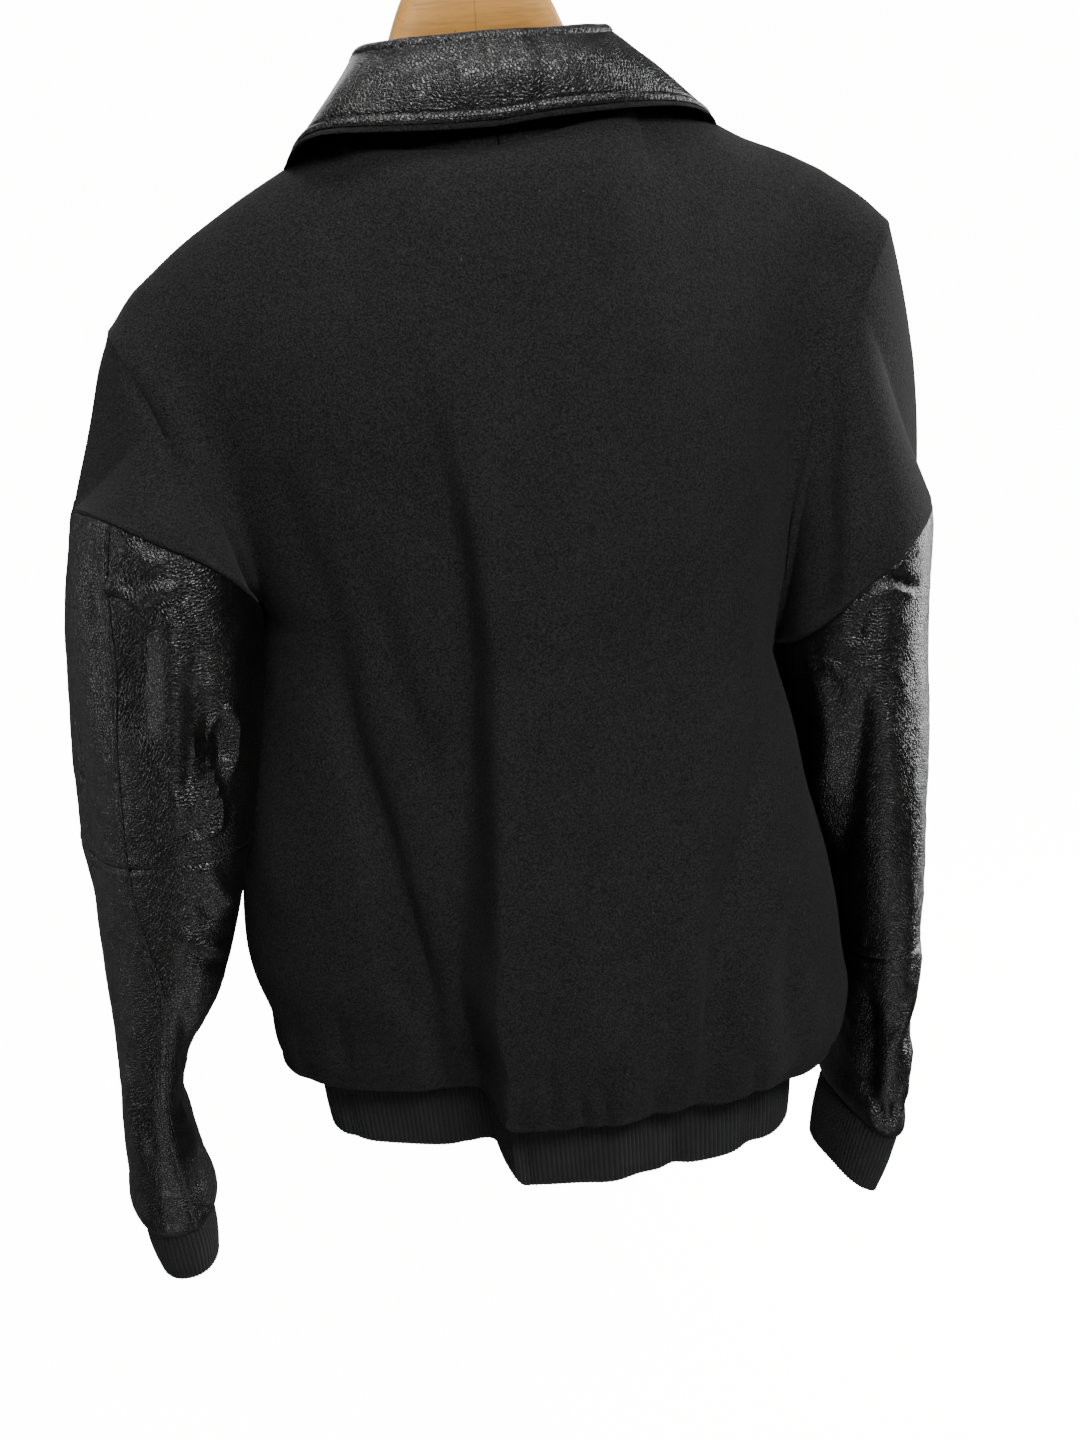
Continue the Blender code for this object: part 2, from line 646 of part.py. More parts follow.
# ================================================================ wool and leather panels

def rises():
    """Heights of the body's rows: the lower rows, then the rows that end on the arm caps."""
    steps = SEAM_STEPS + RIDGE_STEPS
    upper = 1 + np.arange(1, steps + 1) / steps
    return np.concatenate([LOWER_ROWS, upper])


def front_columns(side):
    neck = ((-LAP, 0.0, 1), (0.0, NECK_SHARE, FRONT_NECK_STEPS))
    if side == "left":
        return spans(neck + LEFT_SHOULDER)
    return -spans(neck + tuple((-high, -low, steps) for low, high, steps in RIGHT_SHOULDER))


def front_grid(side):
    """One front. At the centre the wearer's right front passes inside the left one."""
    across = front_columns(side)
    grid = body(across[None, :], rises()[:, None], -1)
    if side == "right":
        inside = LAP_STEP * ease(across, -LAP - LAP_FADE, -LAP)
        level = np.minimum(rises(), LAP_LEVEL)
        grid = grid - front_normal(across[None, :], level[:, None]) * inside[None, :, None]
    return grid


def front_normal(across, rise, reach=0.01):
    """Outward unit normal of the front."""
    low, high = np.clip(rise - reach, 0, 2), np.clip(rise + reach, 0, 2)
    sideways = body(across + reach, rise, -1) - body(across - reach, rise, -1)
    upward = body(across, high, -1) - body(across, low, -1)
    normal = np.cross(sideways, upward)
    return normal / np.linalg.norm(normal, axis=-1)[..., None]


def pin_edges(grid, face, left_column, right_column):
    """Lay the side columns above the underarm exactly on the grooves of the arm caps."""
    first = len(LOWER_ROWS) - 1
    steps = SEAM_STEPS + RIDGE_STEPS
    rise = np.arange(steps + 1) / steps
    for side, at in (("left", left_column), ("right", right_column)):
        if at is not None:
            grid[first:, at] = groove(side, rise, face)
            grid[first, at] = body_pit(side)
    return grid


def pit_gusset(side, face):
    """The small face between the body's side seam and the arm, as a grid with one corner twice."""
    up = groove(side, 1 / (SEAM_STEPS + RIDGE_STEPS), face)
    return np.array([[body_pit(side), body_pit(side)], [groove(side, 0.0, face), up]])


def wool_net(net):
    across = spans(RIGHT_SHOULDER + BACK_NECK + LEFT_SHOULDER)
    back = body(across[None, :], rises()[:, None], 1)
    net.add("back", pin_edges(back, 1, -1, 0), (0.0, -0.02))
    net.add("front_left", pin_edges(front_grid("left"), -1, -1, None), (0.0, 0.02))
    net.add("front_right", pin_edges(front_grid("right"), -1, None, -1), (0.0, 0.02))
    for side in ARM_ROWS:
        centre = (arm(side)["sign"] * 0.5 * (UNDERARM_OUT + arm(side)["seam_x"]), 0.0)
        for panel, face in (("back", 1), ("front_" + side, -1)):
            net.add(panel, cap(side, face), centre)
            net.add(panel, pit_gusset(side, face), (arm(side)["sign"] * UNDERARM_OUT, -face * 0.1))


def sleeve_grid(side):
    half = seam_turns()
    turns = np.concatenate([half, 2 * math.pi - half[-2::-1]])
    down = np.arange(SLEEVE_RINGS + 1) / SLEEVE_RINGS
    grid = sleeve(side, turns[None, :], down[:, None])
    grid[0, 0] = groove(side, 0.0, 1)
    grid[:, -1] = grid[:, 0]
    return grid


def sleeve_net(net):
    for side in ARM_ROWS:
        elbow = int(round(arm(side)["elbow"] * SLEEVE_RINGS))
        centre = (arm(side)["sign"] * 0.24, 0.0)
        net.add("sleeve_%s_upper" % side, sleeve_grid(side)[:elbow + 1], centre)
        net.add("sleeve_%s_lower" % side, sleeve_grid(side)[elbow:], centre)


def on_facets(grid, column_at, row_at):
    """Points and normals on a grid's own facets, at fractional column and row numbers."""
    c = np.clip(np.floor(column_at).astype(int), 0, grid.shape[1] - 2)
    r = np.clip(np.floor(row_at).astype(int), 0, grid.shape[0] - 2)
    u, v = (column_at - c)[..., None], (row_at - r)[..., None]
    a, b, d, e = grid[r, c], grid[r, c + 1], grid[r + 1, c], grid[r + 1, c + 1]
    place = a * (1 - u) * (1 - v) + b * u * (1 - v) + d * (1 - u) * v + e * u * v
    normal = np.cross((b - a) * (1 - v) + (e - d) * v, (d - a) * (1 - u) + (e - b) * u)
    return place, normal / np.linalg.norm(normal, axis=-1)[..., None]


def seam_strip(side, leather):
    """Leather strip over the lengthwise sleeve seam, from the sleeve's own points moved out."""
    a = arm(side)
    grid = sleeve_grid(side)
    rows = np.concatenate([[0.15], np.arange(1, SLEEVE_RINGS), [SLEEVE_RINGS - 0.1]])[:, None]
    share = ease(rows / SLEEVE_RINGS, 0.25, 0.9)
    middle = (180 - (a["strip_top"] + (a["strip_low"] - a["strip_top"]) * share)) / 180 * SEAM_STEPS
    middle = middle % (2 * SEAM_STEPS)
    around = grid[:, 1:] - grid[:, :-1]
    pace = np.linalg.norm(around, axis=-1)[np.round(rows).astype(int), middle.astype(int)]
    offset = np.linspace(-0.5, 0.5, 3)[None, :] * STRIP_WIDTH / pace
    place, normal = on_facets(grid, middle + offset, rows)
    axis = np.array([a["sign"] * 0.24, 0.0, 0.0])
    if ((place - axis) * normal)[..., :2].sum() < 0:
        normal = -normal
    strip = Net()
    strip.add("strip", place + normal * (STRIP_LIFT + STRIP_THICK), axis[:2])
    points, faces = strip.wall("strip", STRIP_THICK)
    return add_object("seam_strip_" + side, points, faces, leather)


# ================================================================ rib knit

def ribbed_tube(name, rings, ribbed, thickness, finish):
    """Tube with ribs raised in its outer points over a plain inside.

    rings holds closed rings of base points, top to bottom, each an array of (count, 3), and
    ribbed the share of a rib's height at each ring.
    """
    count = rings.shape[1]
    raise_by = np.where(np.arange(count) % 2 == 0, RIB_RAISE, 0.0)[None, :] * np.array(ribbed)[:, None]
    along = np.roll(rings, -1, axis=1) - np.roll(rings, 1, axis=1)
    down = np.gradient(rings, axis=0)
    normal = np.cross(along, down)
    normal = normal / np.linalg.norm(normal, axis=-1)[..., None]
    centre = rings.mean(axis=1, keepdims=True)
    if ((rings - centre) * normal).sum() < 0:
        normal = -normal
    outer = rings + normal * raise_by[:, :, None]
    inner = (rings - normal * thickness)[[0, -1]]
    levels = np.concatenate([outer, inner[::-1]])
    points = levels.reshape(-1, 3)
    faces = []
    total = len(levels)
    for r in range(total):
        below = (r + 1) % total
        for k in range(count):
            nxt = (k + 1) % count
            faces.append((r * count + k, r * count + nxt, below * count + nxt, below * count + k))
    corners = points[list(faces[0])]
    if (face_normal(corners) * normal[0, 0]).sum() < 0:
        faces = [face[::-1] for face in faces]
    return add_object(name, points, faces, finish, smooth=False)


def even_ring(path, pitch):
    """Closed path resampled at an even number of equal steps of about half the pitch."""
    closed = np.concatenate([path, path[:1]])
    run = np.concatenate([[0], np.cumsum(np.linalg.norm(np.diff(closed, axis=0), axis=1))])
    count = 2 * int(round(run[-1] / pitch))
    at = np.arange(count) * run[-1] / count
    return np.stack([np.interp(at, run, closed[:, k]) for k in range(3)], -1)


def waistband(rib):
    """Band below the hem seam: the panels' own hem points moved out a little and carried down."""
    back = body(spans(RIGHT_SHOULDER + BACK_NECK + LEFT_SHOULDER), 0.0, 1)
    left = body(front_columns("left")[1:], 0.0, -1)
    right = body(front_columns("right")[2:], 0.0, -1)
    path = np.concatenate([back, left[:0:-1], left[:1], right])[:-1]
    ring = even_ring(path, RIB_PITCH)
    step = np.roll(ring, -3, axis=0) - np.roll(ring, 3, axis=0)
    out = np.stack([-step[:, 1], step[:, 0], 0 * step[:, 0]], -1)
    out = out / np.linalg.norm(out, axis=1)[:, None]
    if (out * ring)[:, :2].sum() < 0:
        out = -out
    top = ring + out * BAND_OUT - np.array([0, 0, 1.2 * SEAM])
    low = top * np.array([BAND_DRAW, BAND_DRAW, 1.0]) - np.array([0, 0, BAND_HEIGHT])
    return ribbed_tube("waistband", np.stack([top, low]), (1, 1), RIB, rib)


def cuff(side, rib):
    """Cuff below the leather: the sleeve's last ring drawn in, leaning as the wrist hangs."""
    ring = even_ring(sleeve_grid(side)[-1, :-1], RIB_PITCH)
    centre = ring.mean(axis=0)
    tuck = CUFF_TUCK / np.linalg.norm(ring - centre, axis=1).mean()
    spread = (ring - centre) * np.array([1 - tuck, 1 - tuck, 1.0])
    lean_x, lean_y = CUFF_LEAN[side]
    rings = []
    for share in CUFF_LEVELS:
        move = np.array([lean_x, lean_y, -CUFF_LENGTH]) * share - np.array([0, 0, 1.2 * SEAM])
        rings.append(centre + spread * (1 - (1 - CUFF_TAPER) * share) + move)
    return ribbed_tube("cuff_" + side, np.stack(rings), (0, 1, 1), RIB, rib)


# ================================================================ collar

def neck_seam(turn):
    """Point of the neck seam; turn 0 is the centre back, 90 degrees the side of the neck."""
    start_x, start_z, start_y = RIDGE_ROWS[0]
    c = np.cos(turn)
    end_y = np.where(c >= 0, NECK_BACK[0], NECK_FRONT[0])
    end_z = np.where(c >= 0, NECK_BACK[1], NECK_FRONT[1])
    x = start_x * np.sin(turn)
    y = start_y + (end_y - start_y) * np.abs(c)
    z = start_z + (end_z - start_z) * np.abs(c) ** NECK_DIP
    return stack(x, y, tilt(x, z))


def fold_line(turn):
    c = np.cos(turn)
    x = FOLD_HALF * np.sin(turn)
    y = np.where(c >= 0, FOLD_BACK[0] * c, -FOLD_FRONT[0] * c)
    z = np.where(c >= 0, FOLD_SIDE_Z + (FOLD_BACK[1] - FOLD_SIDE_Z) * c,
                 FOLD_SIDE_Z + (FOLD_FRONT[1] - FOLD_SIDE_Z) * c * c)
    return stack(x, y, tilt(x, z))


def collar_edge(turn):
    """Lower edge of the fall: squarer than the neck, running out to a point at each front."""
    c, s = np.cos(turn), np.sin(turn)
    half = np.where(s >= 0, EDGE_HALF["left"], EDGE_HALF["right"])
    side_z = read(RIDGE_ROWS, RIDGE_COLUMNS, "out", half, "height")[0] + EDGE_OVER
    forward = np.clip(-c, 0, 1)
    run = np.abs(s) ** EDGE_RUN
    reach = np.clip(1 - run ** EDGE_POWER, 0, 1) ** (1 / EDGE_POWER)
    x = np.where(c >= 0, half * run, half + (POINT_SPREAD - half) * forward ** 2)
    y = np.where(c >= 0, EDGE_BACK[0] * reach, EDGE_FRONT[0] * forward)
    z = np.where(c >= 0, side_z + (EDGE_BACK[1] - side_z) * reach ** 1.5,
                 side_z + (EDGE_FRONT[1] - side_z) * forward ** 1.6)
    x = x * np.sign(s)
    return stack(x, y, tilt(x, z))


def fold_out(turn):
    """Level unit normal of the fold line, away from the neck."""
    c, s = np.cos(turn), np.sin(turn)
    depth = np.where(c >= 0, FOLD_BACK[0], -FOLD_FRONT[0])
    out = stack(depth * s, FOLD_HALF * c, 0 * c)
    return out / np.linalg.norm(out, axis=-1)[..., None]


def collar_grid(turn):
    """Right side of the leather: up the neck side of the stand, over the fold, down the fall."""
    neck, fold, edge = neck_seam(turn), fold_line(turn), collar_edge(turn)
    out = fold_out(turn)
    up = np.array([0.0, 0.0, 1.0])
    foot = neck - out * (COLLAR_STACK + COLLAR_CLEAR) + up * COLLAR_CLEAR
    hub = fold - up * FOLD_RADIUS
    rows = []
    for k in range(STAND_STEPS):
        share = k / STAND_STEPS
        rows.append(foot + (hub - out * FOLD_RADIUS - foot) * share)
    for k in range(TURN_STEPS + 1):
        angle = math.pi * k / TURN_STEPS
        rows.append(hub - out * FOLD_RADIUS * math.cos(angle) + up * FOLD_RADIUS * math.sin(angle))
    shoulder = hub + out * FOLD_RADIUS
    bulge = (FALL_SIDE_BULGE + (FALL_BACK_BULGE - FALL_SIDE_BULGE) * np.abs(np.cos(turn)))[:, None]
    for k in range(1, FALL_STEPS + 1):
        share = k / FALL_STEPS
        swell = bulge * math.sin(math.pi * share)
        rows.append(shoulder + (edge - shoulder) * share + (out + up) * swell)
    return np.stack(rows)


def collar(leather, wool):
    back = spans(BACK_NECK) * 90 / NECK_SHARE
    front = 90 + 90 * np.arange(1, FRONT_NECK_STEPS) / FRONT_NECK_STEPS
    turn = np.radians(np.concatenate([-front[::-1], back, front]))
    grid = collar_grid(turn)
    net = Net()
    net.add_plain("collar", grid)
    points, normals = np.array(net.points), net.normals()
    made = [add_object("collar", *closed_wall(points, normals, net.faces, LEATHER, 0.0), leather)]
    below = points - normals * (LEATHER + SEAM)
    centre = int(np.argmin(np.abs(turn)))
    for name, first, last in (("under_collar_right", 0, centre), ("under_collar_left", centre, len(turn) - 1)):
        half_net = Net()
        half_net.add_plain(name, grid[:-1, first:last + 1])
        ids = [net.index[net.key(place)] for place in half_net.points]
        made.append(add_object(name, *closed_wall(below[ids], normals[ids], half_net.faces,
                                                  UNDER_WOOL, SEAM / 2), wool))
    return made


# ================================================================ snaps, hanger and hook

def snap(index, metal):
    """Domed cap of a press snap on the lapped front."""
    low, high = SNAP_RISES
    rise = low + (high - low) * index / (SNAP_COUNT - 1)
    centre = np.array(1.0)      # the column of the front's grid that lies at the centre
    place, normal = on_facets(front_grid("left"), centre, np.interp(rise, rises(), np.arange(len(rises()))))
    normal = normal * (1 if normal[1] < 0 else -1)
    side = np.cross(normal, (0.0, 0.0, 1.0))
    side = side / np.linalg.norm(side)
    upward = np.cross(side, normal)
    seat = place + normal * SNAP_SEAT
    profile = ((1.0, 0.0), (1.0, 0.4), (0.66, 0.88))
    angles = 2 * math.pi * np.arange(SNAP_SIDES) / SNAP_SIDES
    rings = [seat + np.outer(np.cos(angles) * out * SNAP_RADIUS, side)
             + np.outer(np.sin(angles) * out * SNAP_RADIUS, upward) + normal * tall * SNAP_HEIGHT
             for out, tall in profile]
    points = np.concatenate(rings + [[seat + normal * SNAP_HEIGHT]])
    faces = lofted(len(profile), SNAP_SIDES)
    faces.append(tuple(range(SNAP_SIDES)))
    top = (len(profile) - 1) * SNAP_SIDES
    apex = len(points) - 1
    faces += [(top + k, apex, top + (k + 1) % SNAP_SIDES) for k in range(SNAP_SIDES)]
    faces = outward(points, faces, seat + normal * SNAP_HEIGHT / 2)
    return add_object("snap_%d" % (index + 1), points, faces, metal)


def lofted(rings, sides):
    """Quads between rings of the same number of points."""
    return [(r * sides + k, (r + 1) * sides + k, (r + 1) * sides + (k + 1) % sides, r * sides + (k + 1) % sides)
            for r in range(rings - 1) for k in range(sides)]


def outward(points, faces, centre):
    """Turn a convex-ish loft's faces away from its centre, all together."""
    total = 0.0
    for face in faces[:len(faces) // 2]:
        corners = np.array([points[v] for v in face[:3]])
        normal = np.cross(corners[1] - corners[0], corners[2] - corners[0])
        total += float(np.dot(normal, corners.mean(axis=0) - centre))
    return faces if total > 0 else [face[::-1] for face in faces]


def hanger(wood):
    """Wooden hanger: upright superellipse sections along the shoulders, thick rounded ends."""
    side = column(HANGER_ROWS, HANGER_COLUMNS, "out")
    outs = np.concatenate([-side[:0:-1], side])
    angles = 2 * math.pi * np.arange(HANGER_SIDES) / HANGER_SIDES
    c, s = power_curve(angles, HANGER_POWER)
    rings = []
    for out in outs:
        top, forward, half, tall = read(HANGER_ROWS, HANGER_COLUMNS, "out", abs(out),
                                        "top", "forward", "half_thick", "tall")
        middle = tilt(out, top - tall / 2)
        rings.append(stack(out + 0 * c, forward + half * c, middle + tall / 2 * s))
    points = np.concatenate(rings)
    faces = lofted(len(outs), HANGER_SIDES)
    last = (len(outs) - 1) * HANGER_SIDES
    faces.append(tuple(range(HANGER_SIDES)))
    faces.append(tuple(last + k for k in reversed(range(HANGER_SIDES))))
    faces = outward(points, faces, points.mean(axis=0) + np.array([0, 0, 0.02]))
    return add_object("hanger", points, faces, wood)


def hook(steel):
    """Wire hook: a shank out of the hanger's top, a short bend, then the loop over the rail."""
    radius = HOOK_INNER + HOOK_WIRE
    centre_z = -HOOK_INNER
    bend_z = centre_z - radius + HOOK_SHANK
    route = [(0.0, HANGER_ROWS[0][1] + HOOK_SEAT), (0.0, HANGER_ROWS[0][1] + 0.006)]
    start = math.radians(-62)
    first = (radius * math.cos(start), centre_z + radius * math.sin(start))
    for k in range(1, 6):
        t = k / 6
        low, mid = route[1], (0.0, bend_z - 0.004)
        route.append(((1 - t) ** 2 * low[0] + 2 * t * (1 - t) * mid[0] + t * t * first[0],
                      (1 - t) ** 2 * low[1] + 2 * t * (1 - t) * mid[1] + t * t * first[1]))
    for k in range(21):
        angle = start + (math.radians(205) - start) * k / 20
        route.append((radius * math.cos(angle), centre_z + radius * math.sin(angle)))
    curve = bpy.data.curves.new("hanger_hook", "CURVE")
    curve.dimensions = "3D"
    curve.bevel_depth = HOOK_WIRE
    curve.bevel_resolution = 2
    curve.use_fill_caps = True
    spline = curve.splines.new("POLY")
    spline.points.add(len(route) - 1)
    for point, (x, z) in zip(spline.points, route):
        point.co = (x, 0.0, z, 1.0)
    curve.materials.append(steel)
    made = bpy.data.objects.new("hanger_hook", curve)
    bpy.context.collection.objects.link(made)
    return made


# ================================================================ everything

def main():
    for old in list(bpy.data.objects):
        bpy.data.objects.remove(old, do_unlink=True)
    wool = material("black_melton_wool", (0.012, 0.012, 0.013), 0.95)
    leather = material("black_pebbled_leather", (0.016, 0.015, 0.015), 0.42)
    rib = material("black_rib_knit", (0.011, 0.011, 0.012), 0.92)
    metal = material("black_enamelled_brass", (0.02, 0.02, 0.02), 0.3, 0.6)
    wood = material("varnished_maple", (0.50, 0.27, 0.10), 0.35)
    steel = material("polished_steel", (0.62, 0.62, 0.63), 0.22, 1.0)

    net = Net()
    wool_net(net)
    sleeve_net(net)
    for name in ("back", "front_left", "front_right"):
        points, faces = net.wall(name, WOOL)
        add_object(name, points, faces, wool)
    for side in ARM_ROWS:
        for part in ("upper", "lower"):
            name = "sleeve_%s_%s" % (side, part)
            points, faces = net.wall(name, LEATHER)
            add_object(name, points, faces, leather)
        seam_strip(side, leather)
        cuff(side, rib)
    waistband(rib)
    collar(leather, wool)
    for index in range(SNAP_COUNT):
        snap(index, metal)
    hanger(wood)
    hook(steel)


main()
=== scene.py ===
"""Looks of a black varsity jacket on a wooden hanger, laid out as a Blender add-on.

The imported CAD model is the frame. Every piece here is a finer surface over the CAD node that it
replaces, worked out with numpy from the same sizes: wool body, leather sleeves and collar, rib
knit band and cuffs, topstitching, snaps, hanger and hook. +X is the wearer's left, +Y the back,
+Z up, and the origin is the inside top of the hanger's hook.
"""

import json
import math

import bpy
import numpy as np
from mathutils import Matrix

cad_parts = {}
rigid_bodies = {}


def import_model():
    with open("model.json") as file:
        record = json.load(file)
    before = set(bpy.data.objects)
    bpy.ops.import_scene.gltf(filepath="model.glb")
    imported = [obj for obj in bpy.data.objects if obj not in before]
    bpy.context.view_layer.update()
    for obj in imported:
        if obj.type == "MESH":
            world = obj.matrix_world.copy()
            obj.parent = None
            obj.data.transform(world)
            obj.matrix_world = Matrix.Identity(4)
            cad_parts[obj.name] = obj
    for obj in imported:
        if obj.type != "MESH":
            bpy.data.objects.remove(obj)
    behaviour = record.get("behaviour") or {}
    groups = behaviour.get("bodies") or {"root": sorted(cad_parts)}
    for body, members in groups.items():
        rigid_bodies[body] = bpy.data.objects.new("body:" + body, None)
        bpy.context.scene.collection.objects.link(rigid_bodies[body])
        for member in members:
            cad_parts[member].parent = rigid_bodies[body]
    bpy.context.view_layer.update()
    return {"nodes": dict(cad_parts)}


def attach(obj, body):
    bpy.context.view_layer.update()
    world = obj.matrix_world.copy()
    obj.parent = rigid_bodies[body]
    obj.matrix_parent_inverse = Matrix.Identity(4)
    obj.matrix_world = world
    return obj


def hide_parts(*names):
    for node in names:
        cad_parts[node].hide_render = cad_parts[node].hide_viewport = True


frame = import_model()

bl_info = {
    "name": "Varsity Jacket on a Hanger",
    "version": (1, 0, 0),
    "blender": (4, 5, 0),
    "location": "3D View > Sidebar > Jacket",
    "description": "Builds a wool and leather varsity jacket hanging on a wooden hanger",
    "category": "Add Mesh",
}

MM = 0.001

# ================================================================ sizes of the jacket (metres)
WOOL = 0.0020
LEATHER = 0.0013
UNDER_WOOL = 0.0016
KNIT = 0.0020
SEAM = 0.0003

SECTION_POWER = 2.35        # superellipse power of the body's level sections
SHOULDER_POWER = 2.15
NECK_SHARE = 0.36
# rise 0 is the hem seam, 1 the underarm; twist in degrees.
BODY_COLUMNS = ("rise", "half_width", "back", "front", "twist")
BODY_ROWS = (
    (0.000, 0.1580, 0.0930, 0.0900, -8.0),
    (0.012, 0.1770, 0.1060, 0.1010, -8.0),
    (0.050, 0.1900, 0.1155, 0.1080, -8.0),
    (0.130, 0.1970, 0.1200, 0.1120, -7.5),
    (0.260, 0.2000, 0.1210, 0.1130, -6.5),
    (0.420, 0.1965, 0.1180, 0.1110, -5.0),
    (0.680, 0.1810, 0.1110, 0.1070, -2.5),
    (0.850, 0.1705, 0.1070, 0.1050, -1.2),
    (1.000, 0.1620, 0.1040, 0.1040, 0.0),
)
# across: -1 is the wearer's right side seam, 1 the left; heights of the hem seam.
HEM_COLUMNS = ("across", "back", "front")
HEM_ROWS = (
    (-1.00, -0.7830, -0.7830),
    (-0.40, -0.7740, -0.7760),
    (0.100, -0.7725, -0.7690),
    (0.175, -0.7720, -0.7690),
    (0.200, -0.7640, -0.7680),
    (0.300, -0.7630, -0.7670),
    (0.70, -0.7600, -0.7600),
    (1.00, -0.7540, -0.7540),
)
# The back to the wearer's left of a line sinks by drop, over width beyond across.
STEP_COLUMNS = ("rise", "across", "width", "drop")
STEP_ROWS = (
    (0.00, 0.182, 0.020, 0.0460),
    (0.10, 0.178, 0.045, 0.0430),
    (0.20, 0.175, 0.060, 0.0400),
    (0.50, 0.165, 0.075, 0.0290),
    (1.00, 0.172, 0.070, 0.0140),
    (1.45, 0.215, 0.060, 0.0000),
)
# Each fold: across and rise of its low and its high end, half width, depth.
BACK_FOLDS = (
    (0.27, -0.10, 0.56, 0.95, 0.045, 0.0070),
    (-0.30, -0.10, -0.50, 0.70, 0.040, 0.0070),
    (-0.21, -0.10, -0.23, 1.10, 0.070, 0.0050),
    (0.72, -0.10, 0.76, 0.30, 0.040, 0.0050),
    (0.14, -0.15, 0.16, 0.20, 0.030, 0.0050),
    (-0.62, -0.10, -0.58, 0.45, 0.050, 0.0060),
    (-0.12, -0.10, -0.10, 0.40, 0.070, -0.0040),
    (-0.66, 0.70, -0.88, 1.45, 0.060, 0.0050),
)
FRONT_FOLDS = (
    (0.45, -0.10, 0.60, 0.80, 0.060, 0.0080),
    (-0.42, -0.10, -0.58, 0.75, 0.060, 0.0090),
    (0.75, -0.10, 0.72, 0.40, 0.050, 0.0060),
    (-0.74, -0.10, -0.76, 0.45, 0.050, 0.0060),
)
# Crest of the shoulder before the hanger's tilt.
RIDGE_COLUMNS = ("out", "height", "forward")
RIDGE_ROWS = (
    (0.085, -0.1500, 0.0020),
    (0.115, -0.1625, -0.0010),
    (0.150, -0.1790, -0.0055),
    (0.185, -0.1985, -0.0110),
    (0.215, -0.2195, -0.0165),
)
TILT = 0.068                # the wearer's left end hangs lower, metres per metre
NECK_BACK = (0.0460, -0.1650)
NECK_FRONT = (-0.0840, -0.2120)
NECK_DIP = 1.6
ARM_COLUMNS = ("sign", "turn_x", "turn_z", "crest_bulge", "seam_x", "seam_z", "under_z", "seam_arch",
               "groove_x", "groove_z", "shear", "cuff_out", "cuff_in", "elbow")
ARM_ROWS = {
    "left": (1, 0.2350, -0.2540, -0.0010, 0.2700, -0.3580, -0.4300, 0.0220,
             0.186, -0.345, 0.17, -0.8540, -0.8480, 0.45),
    "right": (-1, 0.2580, -0.2430, 0.0090, 0.2735, -0.4160, -0.5050, 0.0150,
              0.180, -0.300, 0.06, -0.8700, -0.8380, 0.65),
}
UNDERARM_OUT = 0.1680
UNDERARM_WIDTH = 0.0012
GROOVE_BULGE = 0.108
GROOVE_RISE = 0.60
CAP_BULGE = 0.012
PULL_POWER = 7              # keeps the pull of the arm's groove close to the panel's side
SWAY = (0.0070, 0.12, 0.09)     # how far the lower body sways, and its middle and half width in rise
SLEEVE_POWER = 2.2
SLEEVE_COLUMNS = ("height", "outer", "inner", "back", "front")
SLEEVE_ROWS = {
    "left": (
        (-0.3500, 0.2680, 0.1500, 0.0760, -0.0780),
        (-0.4300, 0.2815, 0.1680, 0.0810, -0.0820),
        (-0.4800, 0.2838, 0.1790, 0.0800, -0.0820),
        (-0.5600, 0.2870, 0.1920, 0.0760, -0.0800),
        (-0.6200, 0.2890, 0.2050, 0.0690, -0.0780),
        (-0.6700, 0.2905, 0.2220, 0.0600, -0.0760),
        (-0.7100, 0.2915, 0.2430, 0.0500, -0.0740),
        (-0.7500, 0.2940, 0.2530, 0.0420, -0.0710),
        (-0.7900, 0.2970, 0.2500, 0.0370, -0.0680),
        (-0.8300, 0.2970, 0.2450, 0.0310, -0.0640),
        (-0.8600, 0.2920, 0.2470, 0.0230, -0.0560),
    ),
    "right": (
        (-0.4000, 0.2750, 0.1500, 0.0780, -0.0760),
        (-0.4450, 0.2715, 0.1580, 0.0800, -0.0760),
        (-0.5050, 0.2695, 0.1680, 0.0820, -0.0760),
        (-0.5600, 0.2685, 0.1850, 0.0810, -0.0740),
        (-0.6200, 0.2645, 0.1950, 0.0800, -0.0700),
        (-0.6800, 0.2595, 0.2010, 0.0790, -0.0640),
        (-0.7300, 0.2505, 0.2020, 0.0780, -0.0560),
        (-0.7800, 0.2440, 0.2000, 0.0760, -0.0470),
        (-0.8200, 0.2420, 0.1970, 0.0730, -0.0390),
        (-0.8500, 0.2385, 0.1940, 0.0680, -0.0320),
        (-0.8800, 0.2340, 0.1920, 0.0620, -0.0260),
    ),
}
# Each fold: turn in degrees and height of its low and its high end, half turn, depth.
SLEEVE_FOLDS = {
    "left": (
        (250.0, -0.60, 285.0, -0.45, 24.0, 0.0070),
        (230.0, -0.75, 300.0, -0.68, 26.0, 0.0060),
        (330.0, -0.62, 345.0, -0.42, 24.0, -0.0040),
    ),
    "right": (
        (250.0, -0.66, 285.0, -0.50, 24.0, 0.0070),
        (235.0, -0.80, 300.0, -0.76, 26.0, 0.0060),
        (330.0, -0.70, 345.0, -0.50, 24.0, -0.0040),
    ),
}
# How each shoulder's turn is rounded: the wide bell's move, and how far its corner comes in.
SHOULDER_ROUND = {"right": ((-0.0030, 0.0, 0.0075), 0.0035), "left": ((0.0, 0.0, 0.0), 0.0030)}
SHOULDER_BELLS = (0.055, 0.016)         # half widths of the wide and the narrow bell
NECK_HOLLOW = ((-0.165, 0.0, -0.182), 0.028, 0.0045)    # place, half width and depth, right side
ELBOW_LIFT = {"left": 0.10, "right": 0.0}     # how far the elbow's seam rises on the inner side
